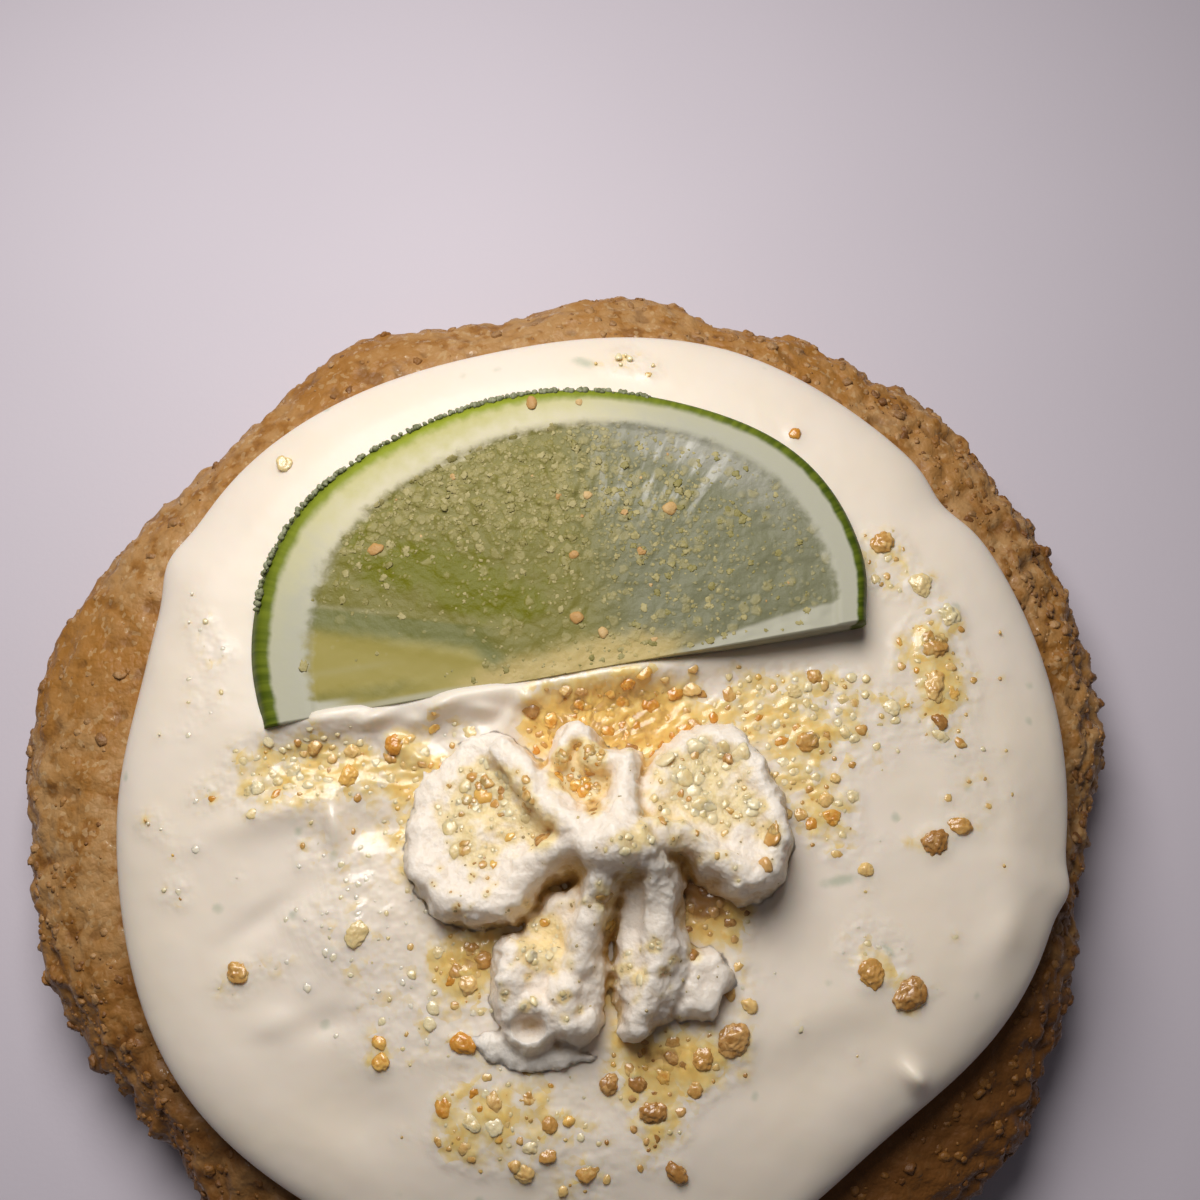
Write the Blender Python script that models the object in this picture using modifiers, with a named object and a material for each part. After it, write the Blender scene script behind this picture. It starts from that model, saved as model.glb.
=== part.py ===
# A key lime pie cookie: a thick crumbly cookie, a layer of set lime cream, half a slice of lime,
# a piped swirl of whipped cream, and cookie crumbs fused on the cream and the swirl.
# Every size is in millimetres, and each finished piece is brought to metres.
# X runs to the right, Y away from the viewer, Z up. The origin is under the middle of the cookie.

from math import atan2, cos, exp, hypot, pi, radians, sin, sqrt, tau
from random import Random

import bmesh
import bpy
from mathutils import Matrix, Vector, noise
from mathutils.bvhtree import BVHTree

MM = 0.001
GAP = 0.35

# The cookie. A lobe is its angle in degrees, its half width in degrees and how far it stands out.
COOKIE_RADIUS = 53.5
COOKIE_TOP = 14.0
COOKIE_RIM_HEIGHT = 8.0
COOKIE_FOOT = 49.0
COOKIE_SHELF = 44.0
COOKIE_STEPS = 128
COOKIE_LOBES = (
    (40, 30, 2.1), (72, 4, -1.7), (83, 9, 0.4), (100, 8, -2.0), (117, 6, 1.2), (134, 16, -2.0),
    (170, 14, 1.9), (199, 6, 0.8), (222, 16, -2.8), (268, 18, 0.6), (292, 14, -1.0),
    (318, 12, 0.8), (333, 6, -1.0), (348, 8, -2.6), (357, 4, -1.6),
)
# Where the edge is most crumbled: its angle, its half width, and how much more than elsewhere.
CRAG_PLACES = ((32, 42, 1.0), (222, 30, 0.9), (330, 30, 0.5))
CRAG_SIZE = 4.2
CRAG_DEPTH = 0.8

# The lime cream. A mark is x, y, direction in degrees, half length, half width and height.
CREAM_RADIUS = 44.9
CREAM_CENTRE = (2.3, 0.3)
CREAM_EDGE_HEIGHT = 17.0
CREAM_EDGE_TOP = 20.6
CREAM_DOME = 1.0
CREAM_UNDERCUT = 2.2
CREAM_STEPS = 108
CREAM_LOBES = (
    (36, 4, -1.0), (68, 14, 0.7), (100, 14, -0.6), (138, 20, 1.6), (152, 4, 1.0), (168, 12, -0.8),
    (218, 20, 1.6), (311, 19, -3.1), (347, 2.5, 0.8),
)
CREAM_MARKS = (
    (-25.4, -3.6, 17, 6.5, 1.8, 0.9), (-21.0, -5.2, -75, 1.9, 1.0, 1.2), (-17.6, -5.4, 10, 3.2, 1.3, -0.5),
    (-27.2, -13.4, 34, 4.2, 1.2, -0.45), (-25.8, -22.4, 10, 2.2, 1.3, 0.4),
    (-20.9, -22.4, 15, 2.2, 1.2, -0.4), (-17.8, -29.6, -20, 5.0, 3.2, -0.6),
    (-19.4, -14.3, 0, 6.0, 4.0, 0.5), (20.4, -25.4, 24, 9.0, 3.4, -0.5), (31.0, -27.2, -50, 1.8, 1.0, 1.4),
    (39.6, -14.8, 60, 3.0, 1.8, 0.5), (-23.0, 5.2, 9, 7.0, 2.2, 0.8), (0.0, 4.8, 9, 18.0, 2.2, 0.5),
    (-9.0, -28.0, 15, 5.0, 2.0, -0.3),
)

# The half slice of lime, turned about the middle of its straight side.
LIME_RADIUS = 29.5
LIME_THICKNESS = 3.6
LIME_PLACE = (0.06, 7.6, 20.7)
LIME_TURN = 8.3
LIME_TILT = 1.9
LIME_STEPS = 96
LIME_MEMBRANES = (24, 52, 80, 108, 138, 165)
LIME_LOBES = ((0, 10, -1.3), (34, 22, 2.1), (142, 22, 2.0), (180, 10, -1.0))

# The whipped cream. A petal is its start, its first heading, how far it turns in degrees and how late,
# its length, its end height, and its radius at the start and at its full width.
SWIRL_PETALS = (
    ((4.0, -6.6, 32.4), 215, -100, 2.5, 18.2, 26.0, 1.4, 3.3),
    ((3.6, -6.0, 32.0), 192, -70, 0.5, 14.0, 26.8, 1.3, 1.7),
    ((5.5, -6.2, 32.4), 79, 87, 1.3, 10.5, 26.0, 1.6, 2.2),
    ((6.8, -6.8, 32.4), -52, 232, 1.2, 23.0, 26.8, 1.3, 2.2),
    ((6.2, -8.7, 31.8), -62, -56, 1.3, 13.5, 24.4, 1.3, 2.9),
    ((2.9, -8.7, 31.8), 266, -43, 1.3, 13.2, 25.0, 1.3, 3.6),
    ((10.5, -15.1, 26.4), -30, -62, 1.1, 5.0, 24.4, 1.2, 2.2),
)
# The open end of the curled petal: middle, and radii along X, Y and Z.
SWIRL_HOLLOW = ((-3.4, -22.6, 24.2), (1.8, 1.9, 1.3))
# Rounded masses between and under the petals: middle, and radii along X, Y and Z.
SWIRL_MASSES = (
    ((4.7, -7.0, 24.0), (4.4, 4.0, 9.0)), ((4.6, -12.0, 22.0), (5.8, 6.6, 3.6)),
    ((-5.4, -3.8, 24.4), (7.2, 6.0, 2.8)), ((12.4, -4.0, 26.0), (6.0, 5.0, 2.7)),
    ((9.6, -5.6, 22.4), (5.4, 4.6, 3.6)), ((-1.4, -19.2, 22.8), (4.8, 4.4, 3.6)),
    ((7.0, -17.4, 22.8), (3.2, 4.2, 3.4)), ((-0.6, -24.4, 21.5), (5.2, 2.0, 1.1)),
    ((10.4, -20.8, 21.9), (3.2, 2.4, 1.4)), ((1.8, 0.4, 24.0), (3.6, 3.0, 2.8)),
)
SWIRL_VOXEL = 0.7
SWIRL_TRIANGLES = 2350
SWIRL_TEAR_SIZE = 2.6
SWIRL_TEAR_DEPTH = 0.35
SWIRL_MIDDLE = (3.5, -11.0)
SWIRL_REACH = 19.0

# Crumbs on the cream: x, y, how far they scatter, how many, and the size of the largest.
CRUMB_SEED = 41
CRUMB_PATCHES = (
    (14.6, -23.7, 0, 1, 2.9), (12.0, -25.4, 0, 1, 2.0), (33.4, -6.6, 0, 1, 2.4),
    (33.5, -8.4, 0, 1, 1.9), (35.8, -5.1, 0, 1, 1.6), (27.1, -18.2, 0, 1, 2.4),
    (30.4, -19.7, 0, 1, 2.5), (27.1, -9.1, 0, 1, 1.3), (24.1, -4.4, 0, 1, 1.4), (22.2, 33.1, 0, 1, 1.2),
    (-28.1, 30.2, 0, 1, 1.5), (-29.2, -18.1, 0, 1, 2.0), (-16.4, -23.9, 0, 1, 1.4),
    (-16.2, -25.7, 0, 1, 1.6), (-8.9, -24.1, 0, 1, 1.9), (-18.7, -14.8, 0, 1, 1.8),
    (-19.9, -0.7, 0, 1, 2.0), (-15.9, 2.2, 0, 1, 1.6), (7.7, -29.8, 0, 1, 2.2), (8.0, -32.0, 0, 1, 1.7),
    (9.6, -34.7, 0, 1, 1.7), (0.3, -30.4, 0, 1, 1.1), (5.4, -27.4, 2.6, 7, 1.7),
    (29.9, 21.6, 1.4, 2, 2.1), (32.6, 18.6, 1.6, 3, 2.2), (36.8, 15.7, 1.6, 3, 2.0),
    (34.4, 10.0, 2.6, 7, 2.3), (34.6, 5.2, 0.8, 2, 1.8), (22.0, 1.8, 2.2, 6, 1.9),
    (-25.4, 0.4, 4.4, 8, 1.6), (-8.4, -17.6, 1.6, 3, 1.8), (-2.6, -32.6, 2.4, 4, 1.6),
    (-7.0, -30.0, 2.4, 4, 1.5), (-0.5, 5.2, 2.6, 6, 1.6), (5.0, 5.4, 3.0, 8, 1.6),
    (11.5, 7.0, 3.4, 7, 1.5), (24.5, 7.0, 4.0, 6, 1.3), (-12.0, -20.0, 4.0, 3, 1.2),
    (-14.6, -7.4, 2.6, 4, 1.7), (29.6, 6.6, 2.4, 4, 1.5), (15.0, -20.6, 2.2, 3, 1.4),
    (-21.0, 2.6, 2.4, 4, 1.5), (8.6, -24.8, 1.6, 3, 1.6), (24.6, -2.6, 2.0, 3, 1.4),
    (2.0, -35.6, 2.6, 4, 1.5),
)
# The few largest crumbs on the swirl, which land on whatever petal is under them.
SWIRL_CRUMBS = (
    (14.4, 0.2, 0, 1, 1.6), (17.8, -6.8, 0, 1, 1.9), (17.2, -9.0, 0, 1, 1.5), (-0.5, -1.6, 1.2, 3, 1.6),
    (-8.0, -2.2, 1.8, 3, 1.5), (11.4, -3.0, 2.4, 3, 1.3), (-6.4, -7.6, 2.0, 2, 1.2),
)
CRUMB_SUNK = 0.35

COLOURS = {
    "cookie_base": ((0.40, 0.22, 0.095), 0.85),
    "lime_cream": ((0.86, 0.80, 0.66), 0.28),
    "lime_slice": ((0.36, 0.40, 0.13), 0.35),
    "whipped_cream": ((0.88, 0.79, 0.66), 0.55),
}


def rise(distance, half_width):
    """A smooth hump that is 1 at distance 0."""
    return exp(-((distance / half_width) ** 2))


def lobed(angle, lobes):
    """The sum of the lobes at an angle in degrees."""
    total = 0
    for middle, half_width, amount in lobes:
        away = (angle - middle + 180) % 360 - 180
        total += amount * rise(away, half_width)
    return total


def cookie_rim(angle):
    return COOKIE_RADIUS + lobed(angle, COOKIE_LOBES)


def cream_edge(angle):
    """The cream's outline: a circle off the cookie's middle, with its own lobes."""
    turn = radians(angle)
    along = CREAM_CENTRE[0] * cos(turn) + CREAM_CENTRE[1] * sin(turn)
    offset = CREAM_CENTRE[0] ** 2 + CREAM_CENTRE[1] ** 2
    circle = along + sqrt(along**2 - offset + CREAM_RADIUS**2)
    return circle + lobed(angle, CREAM_LOBES)


def cream_marks(x, y):
    """How far the spread and dragged marks lift or lower the cream."""
    total = 0
    for mark_x, mark_y, direction, length, width, height in CREAM_MARKS:
        turn = radians(direction)
        along = (x - mark_x) * cos(turn) + (y - mark_y) * sin(turn)
        across = (y - mark_y) * cos(turn) - (x - mark_x) * sin(turn)
        total += height * rise(along, length) * rise(across, width)
    return total


def cream_height(x, y):
    """The cream's top surface away from its rounded edge."""
    dome = CREAM_DOME * (1 - (hypot(x, y) / CREAM_RADIUS) ** 2)
    swell = 0.25 * noise.noise(Vector((x / 14, y / 14, 0.3)))
    return CREAM_EDGE_TOP + dome + swell + cream_marks(x, y)


def arc(start, end, steps, first=1):
    """Points of a quarter ellipse that leaves start level and reaches end upright, both as (r, z)."""
    points = []
    for step in range(first, steps + 1):
        turn = pi / 2 * step / steps
        radius = start[0] + (end[0] - start[0]) * sin(turn)
        height = end[1] + (start[1] - end[1]) * cos(turn)
        points.append((radius, height))
    return points


def link(obj):
    bpy.context.collection.objects.link(obj)
    return obj


def settle(obj):
    """Replace an object's mesh by its evaluated one, with its modifiers and its place in it."""
    graph = bpy.context.evaluated_depsgraph_get()
    mesh = bpy.data.meshes.new_from_object(obj.evaluated_get(graph))
    mesh.transform(obj.matrix_world)
    settled = bpy.data.objects.new(obj.name + "_settled", mesh)
    bpy.data.objects.remove(obj)
    return link(settled)


def clean(obj):
    """Weld doubles and keep the largest body, with its faces pointing out."""
    body = bmesh.new()
    body.from_mesh(obj.data)
    bmesh.ops.remove_doubles(body, verts=body.verts, dist=0.0001)
    bmesh.ops.dissolve_degenerate(body, edges=body.edges, dist=0.0001)
    left = set(body.verts)
    bodies = []
    while left:
        group = set()
        queue = [left.pop()]
        while queue:
            vert = queue.pop()
            group.add(vert)
            for edge in vert.link_edges:
                other = edge.other_vert(vert)
                if other in left:
                    left.remove(other)
                    queue.append(other)
        bodies.append(group)
    bodies.sort(key=len)
    for scrap in bodies[:-1]:
        bmesh.ops.delete(body, geom=list(scrap), context="VERTS")
    bmesh.ops.triangulate(body, faces=body.faces)
    bmesh.ops.recalc_face_normals(body, faces=body.faces)
    body.to_mesh(obj.data)
    body.free()
    return obj


def boolean(obj, operation, other=None, group=None, solver="EXACT"):
    """Cut or join with one object or with a collection, and leave the result applied."""
    change = obj.modifiers.new(operation.lower(), "BOOLEAN")
    change.operation = operation
    change.solver = solver
    if group:
        change.operand_type = "COLLECTION"
        change.collection = group
    else:
        change.object = other
    bpy.context.view_layer.update()
    return settle(obj)


def turned(name, profile, steps):
    """A closed turned shape from its (r, z) profile, which runs down its outer side."""
    mesh = bpy.data.meshes.new(name)
    points = [(radius, 0, height) for radius, height in profile]
    edges = [(index, index + 1) for index in range(len(points) - 1)]
    mesh.from_pydata(points, edges, [])
    obj = link(bpy.data.objects.new(name, mesh))
    screw = obj.modifiers.new("turn", "SCREW")
    screw.steps = steps
    screw.render_steps = steps
    screw.use_merge_vertices = True
    screw.merge_threshold = 0.0001
    bpy.context.view_layer.update()
    return clean(settle(obj))


def ellipsoid(name, middle, radii, segments=20):
    bpy.ops.mesh.primitive_uv_sphere_add(segments=segments, ring_count=segments // 2, location=middle)
    obj = bpy.context.object
    obj.name = name
    obj.scale = radii
    bpy.context.view_layer.update()
    return settle(obj)


def reshaped(obj, place):
    """Move every vertex by a formula from its point to its new point."""
    for vert in obj.data.vertices:
        vert.co = place(*vert.co)
    return obj


def crag(point, depth):
    """Lumps the size of the dough's crumbs, never cutting deeper than they stand out."""
    lumps = noise.noise(point / CRAG_SIZE) + 0.6 * noise.noise(point / (0.45 * CRAG_SIZE))
    return depth * lumps


def cookie_place(x, y, z):
    """Take a round cookie's vertex to the lobed and crumbled one."""
    radius = hypot(x, y)
    if radius < 0.01:
        return x, y, z
    angle = atan2(y, x) * 180 / pi
    rim = cookie_rim(angle)
    shelf = cream_edge(angle) - 1.5
    outside = max(0, (radius - COOKIE_SHELF) / (COOKIE_RADIUS - COOKIE_SHELF))
    if outside > 0:
        wide = shelf + (rim - shelf) * outside
    else:
        wide = shelf * radius / COOKIE_SHELF
    if z > 0 and outside > 0:
        roughness = CRAG_DEPTH * (0.55 + lobed(angle, CRAG_PLACES))
        depth = crag(Vector((x, y, z)), roughness * min(1, 2 * outside))
        wide += depth * outside
        z += depth * (1 - outside)
    return x * wide / radius, y * wide / radius, z


def make_cookie():
    shelf = (COOKIE_SHELF, COOKIE_TOP)
    rim = (COOKIE_RADIUS, COOKIE_RIM_HEIGHT)
    profile = [(0, COOKIE_TOP), (30, COOKIE_TOP), shelf]
    profile += arc(shelf, rim, 6)
    under = arc((COOKIE_FOOT, 0), rim, 4, first=0)
    profile += under[::-1][1:]
    profile.append((0, 0))
    return reshaped(turned("cookie_base", profile, COOKIE_STEPS), cookie_place)


def cream_place(x, y, z):
    """Take a round cream's vertex to the lobed one, with its marks on the top."""
    radius = hypot(x, y)
    edge = cream_edge(atan2(y, x) * 180 / pi)
    stretch = edge / CREAM_RADIUS
    wide_x = x * stretch
    wide_y = y * stretch
    if z > CREAM_EDGE_HEIGHT:
        share = (z - CREAM_EDGE_HEIGHT) / (CREAM_EDGE_TOP - CREAM_EDGE_HEIGHT)
        z = CREAM_EDGE_HEIGHT + share * (cream_height(wide_x, wide_y) - CREAM_EDGE_HEIGHT)
    if radius < 0.01:
        return x, y, z
    return wide_x, wide_y, z


def make_cream():
    under = COOKIE_TOP + GAP
    start = (CREAM_RADIUS - 6.4, CREAM_EDGE_TOP)
    edge = (CREAM_RADIUS, CREAM_EDGE_HEIGHT)
    foot = (CREAM_RADIUS - CREAM_UNDERCUT, under)
    profile = [(0, CREAM_EDGE_TOP)]
    shares = (0.16, 0.32, 0.47, 0.61, 0.73, 0.83, 0.92, 1)
    profile += [(start[0] * share, CREAM_EDGE_TOP) for share in shares]
    profile += arc(start, edge, 5)
    profile += arc(foot, edge, 2, first=0)[::-1][1:]
    profile.append((0, under))
    return reshaped(turned("lime_cream", profile, CREAM_STEPS), cream_place)


def lime_place(x, y, z):
    """Take a round slice's vertex to the fuller outline, and raise the membranes between its segments."""
    radius = hypot(x, y)
    angle = atan2(y, x) * 180 / pi
    stretch = 1 + lobed(angle, LIME_LOBES) / LIME_RADIUS * (radius / LIME_RADIUS) ** 2
    if z > 0.6 * LIME_THICKNESS and 1 < radius < LIME_RADIUS - 3.6:
        ridge = max(rise(angle - membrane, 3) for membrane in LIME_MEMBRANES)
        z += 0.16 * ridge
    return x * stretch, y * stretch, z


def make_lime(name, grown=0):
    """The half slice where it lies, or a cutter for its bed that is grown by a gap all round."""
    radius = LIME_RADIUS + grown
    top = LIME_THICKNESS + grown
    under = -grown
    pulp = top - 0.3
    profile = [(0, pulp), (9, pulp), (17, pulp), (22.4, pulp), (24.4, pulp), (24.9, top)]
    profile += [(radius - 1.5, top), (radius - 0.8, top - 0.35), (radius - 0.3, top - 1.4)]
    profile += [(radius, 1.0), (radius - 0.3, under + 0.2), (radius - 1, under), (0, under)]
    whole = reshaped(turned(name, profile, LIME_STEPS), lime_place)
    bpy.ops.mesh.primitive_cube_add(size=2 * radius + 10, location=(0, -radius - 5 - grown, 0))
    half_cutter = settle(bpy.context.object)
    half = boolean(whole, "DIFFERENCE", half_cutter)
    bpy.data.objects.remove(half_cutter)
    turn = Matrix.Rotation(radians(LIME_TURN), 4, "Z") @ Matrix.Rotation(-radians(LIME_TILT), 4, "Y")
    half.data.transform(Matrix.Translation(LIME_PLACE) @ turn)
    return clean(half)


def petal_path(start, heading, turning, late, length, end_height):
    """Points of a petal's middle line, which turns as it runs out from the swirl's top."""
    steps = 14
    x, y, height = start
    points = [Vector(start)]
    for step in range(1, steps + 1):
        share = step / steps
        direction = radians(heading + turning * share**late)
        x += cos(direction) * length / steps
        y += sin(direction) * length / steps
        z = height + (end_height - height) * sin(pi / 2 * share) ** 1.2
        points.append(Vector((x, y, z)))
    return points


def make_petal(start, heading, turning, late, length, end_height, thin, full):
    """One ridge of the piped swirl, a tube that grows from thin to full and closes at its tip."""
    curve = bpy.data.curves.new("petal", "CURVE")
    curve.dimensions = "3D"
    curve.bevel_depth = 1
    curve.bevel_resolution = 2
    curve.use_fill_caps = True
    points = petal_path(start, heading, turning, late, length, end_height)
    spline = curve.splines.new("POLY")
    spline.points.add(len(points) - 1)
    for index, point in enumerate(points):
        share = index / (len(points) - 1)
        spline.points[index].co = (*point, 1)
        closing = sqrt(max(0.06, 1 - max(0, (share - 0.85) / 0.15) ** 2))
        spline.points[index].radius = (thin + (full - thin) * min(1, share / 0.6)) * closing
    obj = link(bpy.data.objects.new("petal", curve))
    return clean(settle(obj))


def joined(name, objects):
    """Put the meshes of several objects in one, still as separate bodies."""
    body = bmesh.new()
    for obj in objects:
        body.from_mesh(obj.data)
        bpy.data.objects.remove(obj)
    mesh = bpy.data.meshes.new(name)
    body.to_mesh(mesh)
    body.free()
    return link(bpy.data.objects.new(name, mesh))


def swirl_place(x, y, z):
    """Roughen the whipped cream where it was torn from the nozzle."""
    point = Vector((x, y, z))
    shifts = (Vector((9, 2, 8)), Vector((1, 7, 3)), Vector((4, 5, 6)))
    push = Vector([noise.noise(point / SWIRL_TEAR_SIZE + shift) for shift in shifts])
    return point + SWIRL_TEAR_DEPTH * push


def cream_block(gap):
    """A block whose top follows the cream under the swirl, a gap above it."""
    bpy.ops.mesh.primitive_grid_add(x_subdivisions=15, y_subdivisions=15, size=2 * SWIRL_REACH + 6)
    block = bpy.context.object
    block.location = (*SWIRL_MIDDLE, 0)
    bpy.context.view_layer.update()
    block = settle(block)
    reshaped(block, lambda x, y, z: (x, y, cream_height(x, y) + gap))
    thick = block.modifiers.new("thickness", "SOLIDIFY")
    thick.thickness = 12
    thick.offset = -1
    bpy.context.view_layer.update()
    return settle(block)


def make_swirl():
    pieces = [make_petal(*petal) for petal in SWIRL_PETALS]
    pieces += [ellipsoid("mass", middle, radii) for middle, radii in SWIRL_MASSES]
    swirl = joined("whipped_cream", pieces)
    skin = swirl.modifiers.new("skin", "REMESH")
    skin.mode = "VOXEL"
    skin.voxel_size = SWIRL_VOXEL
    soft = swirl.modifiers.new("soft", "SMOOTH")
    soft.factor = 0.5
    soft.iterations = 2
    bpy.context.view_layer.update()
    swirl = clean(settle(swirl))
    reshaped(swirl, swirl_place)
    fewer = swirl.modifiers.new("fewer", "DECIMATE")
    fewer.ratio = SWIRL_TRIANGLES / len(swirl.data.polygons)
    bpy.context.view_layer.update()
    swirl = settle(swirl)
    for cutter in (ellipsoid("hollow", *SWIRL_HOLLOW, 12), cream_block(GAP)):
        swirl = boolean(swirl, "DIFFERENCE", cutter)
        bpy.data.objects.remove(cutter)
    return clean(swirl)


def crumb(place, size, number, group):
    """One crumb: a small sphere of twenty faces with its corners pushed about."""
    draw = Random(number)
    bpy.ops.mesh.primitive_ico_sphere_add(subdivisions=1, radius=size / 2, location=place)
    grain = bpy.context.object
    bpy.context.view_layer.update()
    grain = settle(grain)
    for vert in grain.data.vertices:
        away = vert.co - place
        away.z *= 0.85
        vert.co = place + away * draw.uniform(0.8, 1.15)
    bpy.context.collection.objects.unlink(grain)
    group.objects.link(grain)


def crumb_places(patches):
    """Draw the crumbs' places and sizes, the largest of each patch first."""
    draw = Random(CRUMB_SEED)
    for x, y, scatter, count, largest in patches:
        for index in range(count):
            turn = draw.uniform(0, tau)
            away = scatter * sqrt(draw.random())
            size = largest * (1 - 0.4 * index / count)
            yield x + away * cos(turn), y + away * sin(turn), size


def surface_tree(obj):
    """An object's faces, for finding the nearest one or the one under a point."""
    points = [vert.co for vert in obj.data.vertices]
    return BVHTree.FromPolygons(points, [face.vertices for face in obj.data.polygons])


def with_crumbs(obj, patches, clear_of):
    """Fuse crumbs on an object where they are clear of each other and of its neighbours."""
    ground = surface_tree(obj)
    neighbours = [surface_tree(other) for other in clear_of]
    group = bpy.data.collections.new("crumbs")
    bpy.context.scene.collection.children.link(group)
    placed = []
    for number, (x, y, size) in enumerate(crumb_places(patches)):
        hit = ground.ray_cast(Vector((x, y, 60)), Vector((0, 0, -1)))[0]
        if hit is None:
            continue
        place = hit + Vector((0, 0, size * (0.5 - CRUMB_SUNK)))
        reach = 0.6 * size
        near = any((place - other).length < reach + other_reach for other, other_reach in placed)
        beside = any(tree.find_nearest(place)[3] < reach + GAP for tree in neighbours)
        if not near and not beside:
            placed.append((place, reach))
            crumb(place, size, number, group)
    fused = boolean(obj, "UNION", group=group)
    for grain in list(group.objects):
        bpy.data.objects.remove(grain)
    bpy.data.collections.remove(group)
    return clean(fused)


def finish(obj, name, collection):
    """Name the piece, bring it to metres, shade it and give it its material."""
    obj.name = name
    obj.data.name = name
    obj.data.transform(Matrix.Scale(MM, 4))
    obj.data.shade_smooth()
    obj.data.set_sharp_from_angle(angle=radians(50))
    colour, roughness = COLOURS[name]
    material = bpy.data.materials.new(name)
    material.use_nodes = True
    surface = material.node_tree.nodes["Principled BSDF"]
    surface.inputs["Base Color"].default_value = (*colour, 1)
    surface.inputs["Roughness"].default_value = roughness
    surface.inputs["Metallic"].default_value = 0
    obj.data.materials.clear()
    obj.data.materials.append(material)
    bpy.context.collection.objects.unlink(obj)
    collection.objects.link(obj)


def main():
    for obj in list(bpy.data.objects):
        bpy.data.objects.remove(obj)
    parts = bpy.data.collections.new("key_lime_pie_cookie")
    bpy.context.scene.collection.children.link(parts)

    cookie = make_cookie()
    lime = make_lime("lime_slice")
    swirl = make_swirl()
    bed = make_lime("lime_bed", GAP)
    cream = clean(boolean(make_cream(), "DIFFERENCE", bed))
    bpy.data.objects.remove(bed)
    cream = with_crumbs(cream, CRUMB_PATCHES, [lime, swirl])
    swirl = with_crumbs(swirl, SWIRL_CRUMBS, [lime, cream])

    finish(cookie, "cookie_base", parts)
    finish(cream, "lime_cream", parts)
    finish(lime, "lime_slice", parts)
    finish(swirl, "whipped_cream", parts)


main()
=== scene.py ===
# The looks of a key lime pie cookie: cookie, lime cream, half a slice of lime, whipped cream and crumbs.
# Lengths here are millimetres, and newPiece brings each piece to metres. X is right, Y is away, Z is up.
from math import atan2, cos, exp, hypot, log, pi, radians, sin, sqrt, tau
from random import Random

import bmesh
import bpy
from mathutils import Matrix, Vector, noise
from mathutils.bvhtree import BVHTree


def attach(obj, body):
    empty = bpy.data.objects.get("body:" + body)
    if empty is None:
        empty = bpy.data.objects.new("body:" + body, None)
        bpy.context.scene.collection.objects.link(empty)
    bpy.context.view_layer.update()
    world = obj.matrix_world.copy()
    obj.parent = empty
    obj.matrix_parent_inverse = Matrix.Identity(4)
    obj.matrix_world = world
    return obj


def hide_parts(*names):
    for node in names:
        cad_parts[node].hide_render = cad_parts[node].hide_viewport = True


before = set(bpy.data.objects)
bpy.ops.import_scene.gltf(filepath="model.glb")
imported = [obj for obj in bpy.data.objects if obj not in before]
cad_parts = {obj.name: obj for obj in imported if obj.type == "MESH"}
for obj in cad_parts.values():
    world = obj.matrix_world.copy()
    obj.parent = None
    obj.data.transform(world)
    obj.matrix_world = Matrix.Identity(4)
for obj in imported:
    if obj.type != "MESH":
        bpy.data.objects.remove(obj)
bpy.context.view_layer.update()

mm = 0.001


# shader kit: sums of sockets, and one method that adds any other node

class Socket:
    def __init__(self, finish, output):
        self.finish = finish
        self.output = output

    def maths(self, operation, first, second):
        return self.finish.node("Math", {"operation": operation}, {0: first, 1: second})

    def __add__(self, other):
        return self.maths("ADD", self, other)

    def __sub__(self, other):
        return self.maths("SUBTRACT", self, other)

    def __rsub__(self, other):
        return self.maths("SUBTRACT", other, self)

    def __mul__(self, other):
        return self.maths("MULTIPLY", self, other)

    __radd__ = __add__
    __rmul__ = __mul__


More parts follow.
